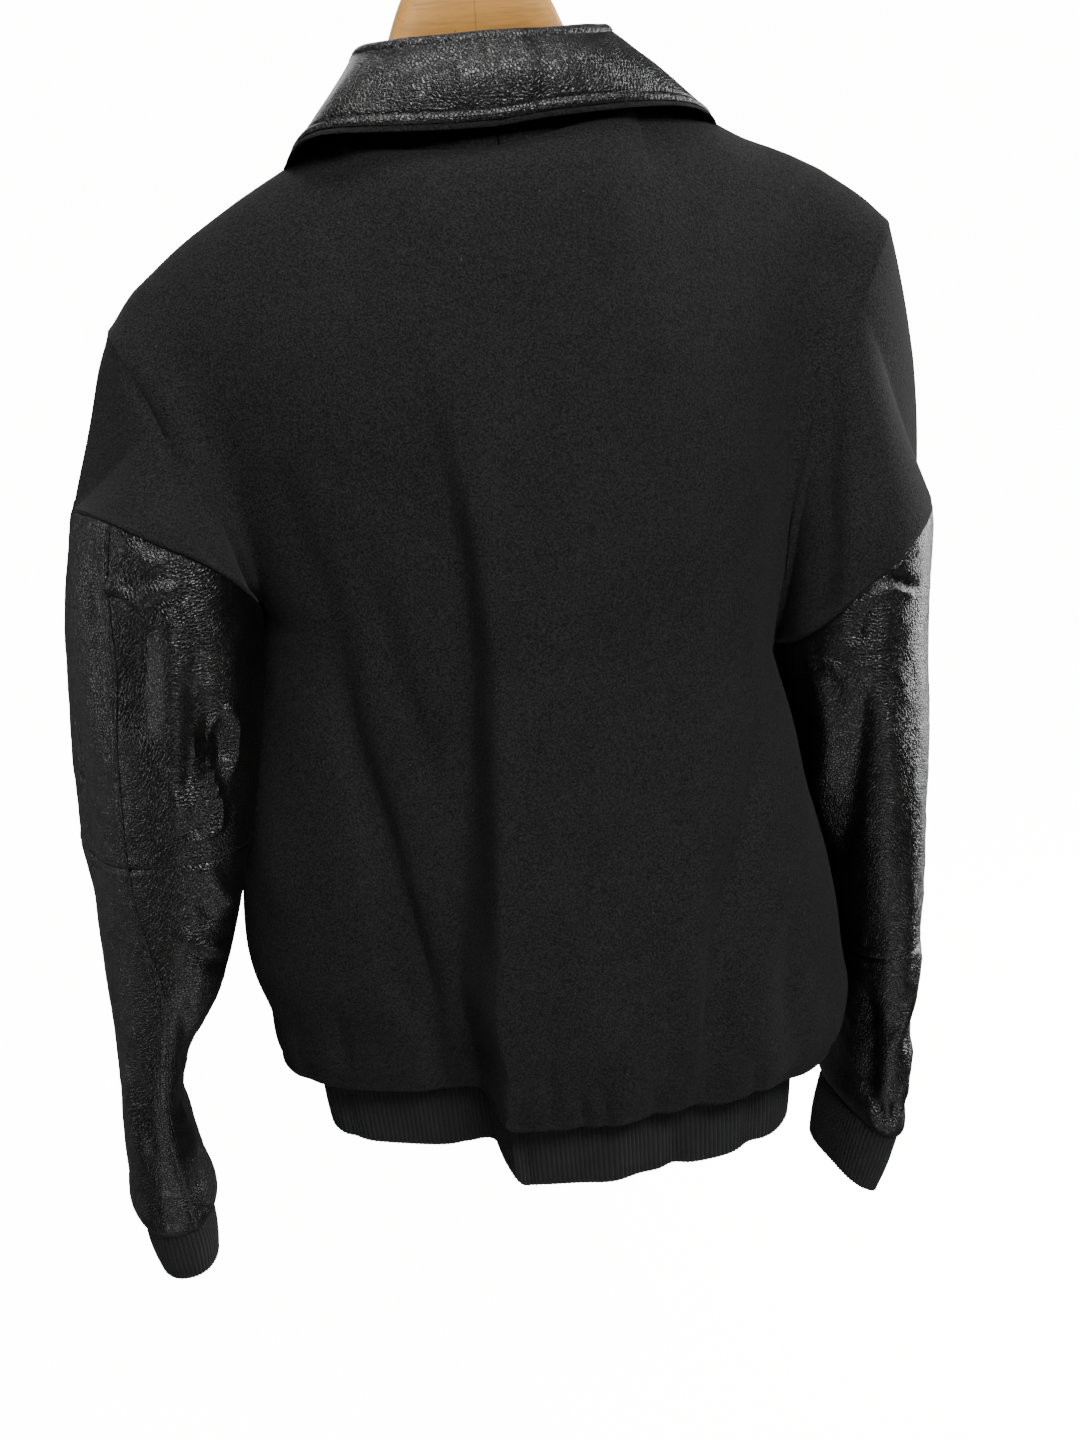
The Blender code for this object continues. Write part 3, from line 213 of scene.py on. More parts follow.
# Where the sleeve's inner side rests on the body: turn and half turn in degrees, height and half
# height, and how far it comes in.
SLEEVE_PRESS = {
    "left": (186.0, 40.0, -0.485, 0.085, 0.0092),
    "right": (172.0, 40.0, -0.585, 0.080, 0.0110),
}
STRIP_WIDTH = 0.0080
STRIP_THICK = 0.0010
CUFF_LENGTH = 0.050
CUFF_TAPER = 0.90
CUFF_TUCK = 0.0012
CUFF_LEAN = {"left": (-0.003, -0.020), "right": (0.010, -0.010)}
BAND_HEIGHT = 0.0520
BAND_OUT = 0.0020
BAND_DRAW = 0.985
FOLD_HALF = {"left": 0.0690, "right": 0.0785}
FOLD_BACK = (0.0370, -0.1030)
FOLD_SLOPE = 0.0010
FOLD_SIDE_POWER = 0.45      # keeps the fold level behind before it drops to the sides
FOLD_FRONT = (-0.0860, -0.1660)
FOLD_SIDE_Z = {"left": -0.1105, "right": -0.1080}
EDGE_COLUMNS = ("turn", "out", "back", "height")
EDGE_ROWS = {               # lower edge of the fall from the centre back to the side of the neck
    "left": (
        (0.0, 0.0000, 0.0560, -0.1508),
        (18.0, 0.0300, 0.0555, -0.1502),
        (34.0, 0.0560, 0.0535, -0.1488),
        (50.0, 0.0800, 0.0490, -0.1475),
        (62.0, 0.0960, 0.0430, -0.1473),
        (71.0, 0.1061, 0.0360, -0.1492),
        (78.0, 0.1110, 0.0270, -0.1525),
        (84.0, 0.1148, 0.0140, -0.1590),
        (90.0, 0.1172, 0.0000, -0.1675),
    ),
    "right": (
        (0.0, 0.0000, 0.0560, -0.1508),
        (14.0, 0.0280, 0.0555, -0.1485),
        (30.0, 0.0580, 0.0530, -0.1478),
        (45.0, 0.0850, 0.0475, -0.1481),
        (56.0, 0.1040, 0.0395, -0.1496),
        (65.0, 0.1180, 0.0320, -0.1520),
        (73.0, 0.1290, 0.0235, -0.1555),
        (81.0, 0.1385, 0.0130, -0.1615),
        (90.0, 0.1450, 0.0000, -0.1690),
    ),
}
EDGE_FRONT = (-0.1000, -0.2420)
POINT_SPREAD = 0.0680
COLLAR_STACK = LEATHER + SEAM + UNDER_WOOL
FOLD_RADIUS = COLLAR_STACK + 0.0015
COLLAR_CLEAR = 0.0005
FALL_BACK_BULGE = 0.0055
FALL_SIDE_BULGE = {"left": -0.0015, "right": 0.0000}
LAP = 0.060
LAP_FADE = 0.084
LAP_STEP = WOOL + 0.0012
LAP_LEVEL = 1.85
SNAP_COUNT = 7
SNAP_RISES = (0.10, 1.80)
HANGER_COLUMNS = ("out", "top", "forward", "half_thick", "tall")
HANGER_ROWS = (
    (0.000, -0.0560, 0.0000, 0.0100, 0.060),
    (0.022, -0.0600, 0.0000, 0.0100, 0.058),
    (0.035, -0.0710, 0.0003, 0.0100, 0.052),
    (0.045, -0.0880, 0.0007, 0.0102, 0.044),
    (0.053, -0.1070, 0.0011, 0.0104, 0.036),
    (0.062, -0.1290, 0.0015, 0.0108, 0.031),
    (0.078, -0.1510, 0.0016, 0.0115, 0.029),
    (0.090, -0.1570, 0.0012, 0.0120, 0.028),
    (0.115, -0.1665, -0.0012, 0.0130, 0.027),
    (0.150, -0.1833, -0.0055, 0.0135, 0.024),
    (0.175, -0.1975, -0.0085, 0.0125, 0.020),
    (0.190, -0.2070, -0.0105, 0.0105, 0.015),
    (0.197, -0.2125, -0.0115, 0.0070, 0.008),
)
HANGER_POWER = 2.1
HOOK_WIRE = 0.00175
HOOK_INNER = 0.0180
HOOK_SHANK = 0.0060
HOOK_SEAT = 0.0004

# ================================================================ fineness of the surfaces
COLUMN_PARTS = ((-1.0, -NECK_SHARE, 42), (-NECK_SHARE, 0.12, 34), (0.12, NECK_SHARE, 50),
                (NECK_SHARE, 1.0, 44))
LOWER_PARTS = ((0.0, 0.09, 24), (0.09, 1.0, 88))
SEAM_STEPS = 70             # half of the sleeve seam
RIDGE_STEPS = 24            # from the sleeve seam up to the shoulder's turn
CAP_STEPS = 26
SLEEVE_RINGS = 184
COLLAR_TURNS = 300
RIB_SIDES = 6               # points round one rib

# Turn of the strip over each sleeve's long seam, by its share of the way down.
STRIP_TURNS = {
    "left": ((0.0, 48.0), (0.15, 43.0), (0.30, 39.0), (0.50, 43.0), (0.69, 78.0), (0.88, 110.0),
             (1.0, 116.0)),
    "right": ((0.0, -20.0), (0.3, -16.0), (0.6, 0.0), (0.85, 20.0), (1.0, 25.0)),
}
# Flat cut of the sleeves' upper and lower parts: width round the arm, length, area.
SLEEVE_CUTS = {
    "left": ((0.40, 0.30, 0.093), (0.31, 0.31, 0.079)),
    "right": ((0.40, 0.34, 0.099), (0.26, 0.20, 0.040)),
}

# ================================================================ lines of the creases
# Each crease is a line of (x, z), a height in mm (below 0 for a trough), the half widths in mm on
# its left and right as it runs, and the share of its length over which each end fades.
BACK_CREASES = (
    (((0.036, -0.311), (0.035, -0.347), (0.036, -0.416), (0.040, -0.490), (0.045, -0.567), (0.050, -0.647),
      (0.055, -0.731)), 2.2, 7.0, 13.0, 0.25),
    (((0.055, -0.309), (0.054, -0.392), (0.056, -0.441), (0.057, -0.478), (0.058, -0.529), (0.061, -0.582),
      (0.066, -0.642), (0.071, -0.711)), -3.6, 15.0, 8.0, 0.25),
    (((0.111, -0.360), (0.104, -0.391), (0.099, -0.428), (0.094, -0.466), (0.083, -0.506), (0.078, -0.546),
      (0.077, -0.585)), -3.0, 10.0, 8.0, 0.3),
    (((0.151, -0.318), (0.143, -0.373), (0.131, -0.408), (0.126, -0.446)), -2.4, 10.0, 9.0, 0.3),
    (((0.131, -0.408), (0.126, -0.446), (0.127, -0.483), (0.122, -0.519), (0.113, -0.559), (0.107, -0.600),
      (0.101, -0.635), (0.095, -0.671), (0.090, -0.707), (0.089, -0.745)), -7.5, 11.0, 8.0, 0.25),
    (((0.110, -0.630), (0.104, -0.671), (0.099, -0.715), (0.098, -0.750)), 2.4, 8.0, 6.0, 0.3),
    (((-0.057, -0.374), (-0.052, -0.428), (-0.045, -0.491), (-0.040, -0.555), (-0.032, -0.621),
      (-0.031, -0.690)), -2.6, 17.0, 22.0, 0.3),
    (((-0.136, -0.511), (-0.126, -0.557), (-0.112, -0.595), (-0.096, -0.623), (-0.084, -0.663),
      (-0.080, -0.705), (-0.073, -0.745), (-0.068, -0.780)), -7.0, 8.0, 11.0, 0.25),
    (((-0.070, -0.640), (-0.066, -0.700), (-0.058, -0.755)), 2.2, 8.0, 8.0, 0.3),
    (((-0.150, -0.640), (-0.138, -0.700), (-0.128, -0.770)), -3.0, 11.0, 9.0, 0.3),
    (((0.028, -0.715), (0.029, -0.755), (0.029, -0.775)), -3.2, 4.5, 4.5, 0.3),
    (((0.011, -0.735), (0.008, -0.782)), -3.4, 4.0, 3.5, 0.3),
    (((-0.003, -0.735), (-0.006, -0.782)), -3.0, 3.5, 4.0, 0.3),
    (((0.151, -0.690), (0.150, -0.750)), -3.0, 5.0, 5.0, 0.3),
    (((-0.109, -0.735), (-0.109, -0.790)), -3.0, 4.5, 4.5, 0.3),
    (((-0.040, -0.745), (-0.039, -0.785)), -2.2, 4.0, 4.0, 0.3),
    (((0.231, -0.259), (0.224, -0.277), (0.216, -0.297), (0.207, -0.321), (0.201, -0.348), (0.194, -0.375),
      (0.186, -0.405), (0.183, -0.446)), -4.5, 5.0, 5.0, 0.2),
    (((0.222, -0.256), (0.208, -0.292), (0.193, -0.342), (0.178, -0.400), (0.174, -0.440)),
     2.2, 7.0, 7.0, 0.3),
    (((-0.209, -0.307), (-0.197, -0.347), (-0.189, -0.384), (-0.187, -0.422), (-0.181, -0.467),
      (-0.175, -0.507)), -4.5, 6.0, 6.0, 0.2),
    (((-0.192, -0.320), (-0.181, -0.370), (-0.173, -0.430), (-0.166, -0.520), (-0.164, -0.640)),
     2.6, 9.0, 8.0, 0.3),
    (((0.186, -0.470), (0.181, -0.560), (0.176, -0.660)), 2.4, 9.0, 12.0, 0.3),
)
FRONT_CREASES = (
    (((0.060, -0.600), (0.072, -0.690), (0.070, -0.770)), -4.0, 12.0, 10.0, 0.3),
    (((-0.070, -0.560), (-0.082, -0.680), (-0.078, -0.775)), -4.5, 10.0, 12.0, 0.3),
    (((0.120, -0.620), (0.128, -0.700), (0.122, -0.770)), -3.0, 10.0, 8.0, 0.3),
    (((-0.135, -0.610), (-0.130, -0.700), (-0.128, -0.780)), -3.5, 8.0, 11.0, 0.3),
    (((0.110, -0.300), (0.145, -0.380), (0.160, -0.450)), 3.0, 12.0, 10.0, 0.35),
    (((-0.110, -0.300), (-0.150, -0.390), (-0.160, -0.480)), 3.0, 10.0, 12.0, 0.35),
    (((0.050, -0.735), (0.050, -0.785)), -2.6, 4.5, 4.5, 0.3),
    (((-0.028, -0.735), (-0.028, -0.785)), -2.6, 4.5, 4.5, 0.3),
    (((0.098, -0.730), (0.098, -0.780)), -2.6, 4.5, 4.5, 0.3),
    (((-0.100, -0.740), (-0.100, -0.790)), -2.6, 4.5, 4.5, 0.3),
)
SLEEVE_BACK_CREASES = {
    "left": (
        (((0.256, -0.396), (0.251, -0.389), (0.245, -0.393), (0.240, -0.398), (0.235, -0.395),
          (0.228, -0.391), (0.222, -0.391), (0.216, -0.397)), 4.2, 3.0, 4.0, 0.12),
        (((0.239, -0.404), (0.242, -0.429), (0.247, -0.455), (0.248, -0.490)), -6.0, 9.0, 8.0, 0.22),
        (((0.222, -0.394), (0.225, -0.439), (0.230, -0.496), (0.236, -0.545)), 4.0, 6.5, 8.0, 0.12),
        (((0.214, -0.440), (0.217, -0.474), (0.223, -0.501), (0.230, -0.530)), -4.5, 6.0, 5.0, 0.25),
        (((0.203, -0.470), (0.211, -0.480), (0.214, -0.493), (0.211, -0.511), (0.208, -0.531),
          (0.211, -0.543), (0.222, -0.548), (0.236, -0.548)), 3.6, 3.0, 3.0, 0.10),
        (((0.203, -0.470), (0.196, -0.470), (0.192, -0.482), (0.195, -0.501), (0.203, -0.516)),
         3.0, 2.8, 2.8, 0.12),
        (((0.203, -0.478), (0.203, -0.505)), -5.0, 5.0, 5.0, 0.3),
        (((0.245, -0.360), (0.232, -0.372), (0.219, -0.384)), 2.6, 6.0, 6.0, 0.3),
        (((0.226, -0.560), (0.215, -0.588), (0.206, -0.606)), 3.6, 5.0, 6.0, 0.25),
        (((0.245, -0.608), (0.232, -0.620), (0.216, -0.632)), 3.4, 4.0, 4.5, 0.25),
        (((0.244, -0.620), (0.230, -0.634), (0.215, -0.648)), -3.6, 5.0, 5.0, 0.25),
        (((0.228, -0.585), (0.222, -0.612)), -3.0, 5.0, 5.0, 0.3),
        (((0.250, -0.650), (0.247, -0.690), (0.253, -0.735)), -4.0, 6.0, 6.0, 0.3),
        (((0.258, -0.728), (0.254, -0.742), (0.252, -0.756)), -4.0, 4.0, 4.0, 0.3),
        (((0.262, -0.752), (0.254, -0.770), (0.251, -0.800)), 2.6, 4.0, 4.0, 0.3),
        (((0.262, -0.775), (0.256, -0.790), (0.255, -0.825)), -2.0, 3.0, 3.0, 0.3),
        (((0.289, -0.700), (0.289, -0.741), (0.287, -0.772), (0.290, -0.800)), 2.6, 4.0, 4.0, 0.3),
        (((0.281, -0.690), (0.281, -0.740), (0.279, -0.800)), -2.2, 5.0, 5.0, 0.3),
        (((0.260, -0.370), (0.263, -0.401), (0.262, -0.425)), -3.2, 4.0, 4.0, 0.3),
        (((0.270, -0.362), (0.273, -0.420), (0.276, -0.520)), 2.4, 6.0, 6.0, 0.3),
    ),
    "right": (
        (((-0.205, -0.436), (-0.216, -0.441), (-0.227, -0.449), (-0.243, -0.458)), -4.2, 4.0, 4.0, 0.2),
        (((-0.196, -0.456), (-0.208, -0.453), (-0.222, -0.453), (-0.242, -0.462)), 3.4, 4.0, 4.0, 0.2),
        (((-0.206, -0.457), (-0.201, -0.473), (-0.197, -0.490)), -3.6, 5.0, 5.0, 0.3),
        (((-0.176, -0.500), (-0.181, -0.520), (-0.185, -0.545), (-0.186, -0.569), (-0.184, -0.600),
          (-0.187, -0.630), (-0.183, -0.682)), 4.6, 6.0, 4.5, 0.1),
        (((-0.202, -0.500), (-0.201, -0.536), (-0.199, -0.571), (-0.196, -0.615), (-0.193, -0.655),
          (-0.190, -0.680)), -5.0, 6.0, 6.0, 0.2),
        (((-0.172, -0.505), (-0.180, -0.500), (-0.192, -0.506)), 3.0, 3.5, 3.5, 0.25),
        (((-0.171, -0.570), (-0.166, -0.584), (-0.174, -0.597), (-0.181, -0.588)), 4.0, 3.0, 3.0, 0.15),
        (((-0.176, -0.535), (-0.175, -0.560)), -3.0, 4.0, 4.0, 0.3),
        (((-0.218, -0.500), (-0.217, -0.580), (-0.213, -0.690)), 2.6, 9.0, 9.0, 0.3),
        (((-0.244, -0.706), (-0.233, -0.747), (-0.218, -0.782)), 3.4, 4.0, 5.0, 0.2),
        (((-0.250, -0.715), (-0.240, -0.752), (-0.226, -0.792)), -2.8, 4.0, 4.0, 0.25),
        (((-0.238, -0.781), (-0.233, -0.806), (-0.220, -0.832)), 2.8, 4.0, 4.0, 0.25),
        (((-0.203, -0.735), (-0.206, -0.765), (-0.205, -0.800), (-0.203, -0.830)), -6.5, 6.0, 5.0, 0.2),
        (((-0.196, -0.738), (-0.196, -0.775), (-0.195, -0.810)), 2.6, 3.5, 3.5, 0.25),
        (((-0.202, -0.828), (-0.208, -0.846), (-0.217, -0.850), (-0.227, -0.831), (-0.232, -0.808)),
         2.6, 2.8, 2.8, 0.2),
        (((-0.207, -0.822), (-0.212, -0.836), (-0.218, -0.838), (-0.224, -0.822)), -2.2, 2.6, 2.6, 0.2),
        (((-0.200, -0.845), (-0.208, -0.862), (-0.220, -0.866), (-0.232, -0.846)), -2.0, 2.6, 2.6, 0.2),
    ),
}
SLEEVE_FRONT_CREASES = {
    "left": (
        (((0.255, -0.420), (0.240, -0.450), (0.215, -0.470)), 3.4, 5.0, 6.0, 0.25),
        (((0.250, -0.440), (0.235, -0.480), (0.225, -0.560)), -5.0, 8.0, 8.0, 0.25),
        (((0.220, -0.520), (0.235, -0.560), (0.262, -0.590)), 3.6, 5.0, 6.0, 0.25),
        (((0.215, -0.590), (0.240, -0.610), (0.270, -0.615)), -4.0, 6.0, 6.0, 0.25),
        (((0.235, -0.640), (0.255, -0.680), (0.275, -0.700)), 3.0, 5.0, 5.0, 0.25),
        (((0.255, -0.740), (0.270, -0.770), (0.285, -0.780)), -2.6, 5.0, 5.0, 0.3),
    ),
    "right": (
        (((-0.255, -0.470), (-0.235, -0.500), (-0.205, -0.520)), 3.4, 5.0, 6.0, 0.25),
        (((-0.250, -0.500), (-0.230, -0.560), (-0.215, -0.640)), -5.0, 8.0, 8.0, 0.25),
        (((-0.200, -0.600), (-0.220, -0.640), (-0.250, -0.665)), 3.6, 5.0, 6.0, 0.25),
        (((-0.200, -0.680), (-0.225, -0.700), (-0.250, -0.700)), -4.0, 6.0, 6.0, 0.25),
        (((-0.200, -0.740), (-0.220, -0.775), (-0.240, -0.790)), 3.0, 5.0, 5.0, 0.25),
    ),
}
COLLAR_CREASES = (
    (((0.036, -0.100), (0.040, -0.149)), -0.9, 4.0, 6.0, 0.15),
    (((0.020, -0.100), (0.021, -0.151)), 1.1, 3.0, 6.0, 0.15),
    (((0.002, -0.100), (0.000, -0.152)), -1.0, 5.0, 4.0, 0.15),
    (((-0.018, -0.100), (-0.017, -0.153)), 1.2, 3.0, 6.0, 0.15),
    (((-0.030, -0.102), (-0.028, -0.153)), -0.8, 5.0, 5.0, 0.15),
    (((0.070, -0.104), (0.088, -0.148)), 0.9, 8.0, 8.0, 0.2),
    (((-0.060, -0.104), (-0.085, -0.148)), -0.8, 8.0, 7.0, 0.2),
)


# ================================================================ small mathematics

def column(rows, names, name):
    return np.array([row[names.index(name)] for row in rows], float)


def flow(keys, values, at):
    """Smooth curve through the rows of a table: cubic pieces with centred slopes."""
    slopes = np.gradient(values, keys)
    at = np.clip(np.asarray(at, float), keys[0], keys[-1])
    i = np.clip(np.searchsorted(keys, at, side="right") - 1, 0, len(keys) - 2)
    span = keys[i + 1] - keys[i]
    u = (at - keys[i]) / span
    return ((2 * u ** 3 - 3 * u ** 2 + 1) * values[i] + (u ** 3 - 2 * u ** 2 + u) * span * slopes[i]
            + (3 * u ** 2 - 2 * u ** 3) * values[i + 1] + (u ** 3 - u ** 2) * span * slopes[i + 1])


def read(rows, names, key, at, *wanted):
    """Columns of a table at the given key values."""
    keys = column(rows, names, key)
    order = np.argsort(keys)
    return [flow(keys[order], column(rows, names, name)[order], at) for name in wanted]


def ease(value, low, high):
    """Smooth step: 3t^2 - 2t^3 with t from 0 at low to 1 at high."""
    t = np.clip((value - low) / (high - low), 0.0, 1.0)
    return t * t * (3 - 2 * t)


def stack(x, y, z):
    return np.stack(np.broadcast_arrays(x, y, z), -1)


def unit(vectors):
    return vectors / np.maximum(np.linalg.norm(vectors, axis=-1, keepdims=True), 1e-12)


def spans(parts):
    """Numbers at even steps through each (from, to, steps) part."""
    pieces = [np.linspace(low, high, steps + 1)[:-1] for low, high, steps in parts]
    return np.concatenate(pieces + [[parts[-1][1]]])


def power_curve(angle, power):
    """Superellipse of half sizes 1: sign(cos a) |cos a|^(2/p), sign(sin a) |sin a|^(2/p)."""
    c, s = np.cos(angle), np.sin(angle)
    return np.sign(c) * np.abs(c) ** (2 / power), np.sign(s) * np.abs(s) ** (2 / power)


def even_half_section():
    """Angles of a typical half section at even steps along its length, from side to side."""
    angle = np.linspace(0, math.pi, 721)
    c, s = power_curve(angle, SECTION_POWER)
    run = np.concatenate([[0], np.cumsum(np.hypot(np.diff(0.185 * c), np.diff(0.112 * s)))])
    return 1 - 2 * run / run[-1], angle


ACROSS, ACROSS_ANGLE = even_half_section()


def soft_folds(rows, across, rise):
    """Sum of troughs along slanting lines: a bell across each line, fading at both ends."""
    total = np.zeros(np.broadcast(across, rise).shape)
    for low_a, low_r, high_a, high_r, half, depth in rows:
        along = (rise - low_r) / (high_r - low_r)
        centre = low_a + (high_a - low_a) * along
        fade = ease(along, 0.0, 0.18) * (1 - ease(along, 0.35, 1.0))
        total = total + depth * fade * np.exp(-((across - centre) / half) ** 2)
    return total


def lumps(places, size, seed):
    """Smooth random field from -1 to 1 that changes over about size metres.

    A seeded lattice of random numbers is blended between its eight nearest with smooth steps.
    """
    cells = 16
    table = np.random.default_rng(seed).uniform(-1, 1, (cells, cells, cells))
    at = places / size + 100.0
    corner = np.floor(at).astype(int)
    t = at - corner
    t = t * t * (3 - 2 * t)
    total = np.zeros(len(places))
    for dx in (0, 1):
        for dy in (0, 1):
            for dz in (0, 1):
                share = (np.where(dx, t[:, 0], 1 - t[:, 0]) * np.where(dy, t[:, 1], 1 - t[:, 1])
                         * np.where(dz, t[:, 2], 1 - t[:, 2]))
                total += share * table[(corner[:, 0] + dx) % cells, (corner[:, 1] + dy) % cells,
                                       (corner[:, 2] + dz) % cells]
    return total


def crease(flat, line, left, right, fade):
    """Bell across a line: exp(-(d/w)^2), w being its own on each side, fading at both ends."""
    line = np.array(line)
    steps = np.diff(line, axis=0)
    lengths = np.hypot(steps[:, 0], steps[:, 1])
    run = np.concatenate([[0], np.cumsum(lengths)])
    nearest = np.full(len(flat), np.inf)
    at, side = np.zeros(len(flat)), np.ones(len(flat))
    for k in range(len(steps)):
        offset = flat - line[k]
        t = np.clip(offset @ steps[k] / lengths[k] ** 2, 0, 1)
        away = offset - t[:, None] * steps[k]
        distance = np.hypot(away[:, 0], away[:, 1])
        turned = np.sign(steps[k, 0] * offset[:, 1] - steps[k, 1] * offset[:, 0])
        nearer = distance < nearest
        at = np.where(nearer, (run[k] + t * lengths[k]) / run[-1], at)
        side = np.where(nearer, turned, side)
        nearest = np.where(nearer, distance, nearest)
    width = np.where(side > 0, left, right) * MM
    return np.exp(-(nearest / width) ** 2) * ease(at, 0, fade) * (1 - ease(at, 1 - fade, 1))


def creases(places, normals, rows, face):
    """Heights of a list of creases on the side of a piece that faces back (1) or front (-1)."""
    seen = ease(face * normals[:, 1], 0.02, 0.35)
    near = np.flatnonzero(seen > 0)
    total = np.zeros(len(places))
    for line, height, left, right, fade in rows:
        total[near] += height * MM * crease(places[near][:, (0, 2)], line, left, right, fade)
    return total * seen


def nearest_distance(places, line, reach=0.03):
    """Distance from each place to the nearest of a line's points, cut off at reach."""
    low, high = line.min(axis=0) - reach, line.max(axis=0) + reach
    inside = np.flatnonzero(((places > low) & (places < high)).all(axis=1))
    best = np.full(len(places), reach)
    for start in range(0, len(inside), 4096):
        part = inside[start:start + 4096]
        apart = places[part][:, None, :] - line[None, :, :]
        best[part] = np.minimum(reach, np.sqrt((apart ** 2).sum(-1).min(1)))
    return best


# ================================================================ meshes

def joined(grids):
    """One list of points for grids that meet, and each grid's numbers into it."""
    flat = np.concatenate([grid.reshape(-1, 3) for grid in grids])
    keys = np.round(flat * 1e6).astype(np.int64)
    first, index = np.unique(keys, axis=0, return_index=True, return_inverse=True)[1:]
    index = index.reshape(-1)
    ends = np.cumsum([0] + [grid.shape[0] * grid.shape[1] for grid in grids])
    ids = [index[a:b].reshape(grid.shape[:2]) for a, b, grid in zip(ends, ends[1:], grids)]
    return flat[first], ids


def split_quads(ids, flip=False):
    """Two triangles for each cell of a grid of point numbers, without those that have no area."""
    a, b, c, d = ids[:-1, :-1], ids[1:, :-1], ids[1:, 1:], ids[:-1, 1:]
    triangles = np.concatenate([np.stack(corners, -1).reshape(-1, 3) for corners in ((a, b, c), (a, c, d))])
    if flip:
        triangles = triangles[:, ::-1]
    p, q, r = triangles.T
    return triangles[(p != q) & (q != r) & (r != p)]


def faces_inward(grid, axis):
    """Whether a grid's cells face the upright axis at (x, y)."""
    normals = np.cross(grid[1:, 1:] - grid[:-1, :-1], grid[:-1, 1:] - grid[1:, :-1])
    away = ((grid[1:, 1:] + grid[:-1, :-1]) / 2)[..., :2] - np.array(axis)
    return (normals[..., :2] * away).sum() < 0


def vertex_normals(points, triangles):
    """Sum of the area vectors of the triangles round each point, made unit."""
    a, b, c = (points[triangles[:, k]] for k in range(3))
    area = np.cross(b - a, c - a)
    totals = [np.bincount(triangles.ravel(), np.repeat(area[:, k], 3), len(points)) for k in range(3)]
    return unit(np.stack(totals, -1))


def border(triangles, count):
    """Directed edges that only one triangle has."""
    edges = np.concatenate([triangles[:, [0, 1]], triangles[:, [1, 2]], triangles[:, [2, 0]]])
    forward, backward = edges[:, 0] * count + edges[:, 1], edges[:, 1] * count + edges[:, 0]
    return edges[~np.isin(forward, backward)]


def drawn_back(points, triangles, edges, inset):
    """Border points moved into the sheet by inset, across the border's own direction."""
    normals = vertex_normals(points, triangles)
    along = unit(points[edges[:, 1]] - points[edges[:, 0]])
    shift = np.zeros_like(points)
    for end in (0, 1):
        np.add.at(shift, edges[:, end], np.cross(normals[edges[:, end]], along))
    moved = np.unique(edges)
    points = points.copy()
    points[moved] += unit(shift[moved]) * inset
    return points


def closed_sheet(points, normals, triangles, thickness, inset=0.0):
    """Closed wall: the sheet, the sheet moved in by its thickness and turned, and the rim."""
    used, local = np.unique(triangles, return_inverse=True)
    local = local.reshape(triangles.shape)
    outer, normals = points[used], normals[used]
    edges = border(local, len(used))
    if inset:
        outer = drawn_back(outer, local, edges, inset)
    count = len(used)
    inner = outer - normals * thickness
    a, b = edges.T
    rim = np.concatenate([np.stack([b, a, count + a], -1), np.stack([b, count + a, count + b], -1)])
    return np.concatenate([outer, inner]), np.concatenate([local, local[:, ::-1] + count, rim])


def link(name, points, faces, material, replaces=(), sharp=40.0, attributes=None):
    """Mesh object at the origin that rides the one body, smooth but for edges past sharp degrees."""
    mesh = bpy.data.meshes.new(name)
    mesh.vertices.add(len(points))
    mesh.vertices.foreach_set("co", np.asarray(points, np.float32).ravel())
    sizes = faces.shape[1]
    mesh.loops.add(faces.size)
    mesh.loops.foreach_set("vertex_index", faces.astype(np.int32).ravel())
    mesh.polygons.add(len(faces))
    mesh.polygons.foreach_set("loop_start", np.arange(0, faces.size, sizes, dtype=np.int32))
    mesh.update(calc_edges=True)
    mesh.validate()
    for key, values in (attributes or {}).items():
        layer = mesh.attributes.new(key, "FLOAT", "POINT")
        layer.data.foreach_set("value", np.asarray(values, np.float32))
    mesh.shade_smooth()
    mesh.set_sharp_from_angle(angle=math.radians(sharp))
    mesh.materials.append(material)
    made = bpy.data.objects.new(name, mesh)
    bpy.context.scene.collection.objects.link(made)
    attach(made, "root")
    if replaces:
        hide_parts(*replaces)
    return made


# ================================================================ body, sleeves and caps

def arm(side):
    return dict(zip(ARM_COLUMNS, ARM_ROWS[side]))


def tilt(x, z):
    return z - TILT * x


def sway(rise):
    """How far the lower body hangs to the wearer's right: a bell over the rise, widest near the hem."""
    depth, middle, half = SWAY
    return depth * np.exp(-((rise - middle) / half) ** 2)


def section(across, rise, face):
    """Level section of the body: a superellipse whose two halves have their own depths."""
    half, back, front, twist = read(BODY_ROWS, BODY_COLUMNS, "rise", rise,
                                    "half_width", "back", "front", "twist")
    angle = np.interp(-across, -ACROSS, ACROSS_ANGLE)
    c, s = power_curve(angle, SECTION_POWER)
    x, y = half * c, face * (back if face > 0 else front) * s
    turn = np.radians(twist)
    return x * np.cos(turn) - y * np.sin(turn) - sway(rise), x * np.sin(turn) + y * np.cos(turn)


def relief(across, rise, face):
    """How far the panel's folds sink, fading to nothing at its sides."""
    sink = soft_folds(BACK_FOLDS if face > 0 else FRONT_FOLDS, across, rise)
    if face > 0:
        centre, width, drop = read(STEP_ROWS, STEP_COLUMNS, "rise", rise, "across", "width", "drop")
        sink = sink + drop * ease(across, centre, centre + width)
    angle = np.interp(-across, -ACROSS, ACROSS_ANGLE)
    return sink * power_curve(angle, SECTION_POWER)[1]


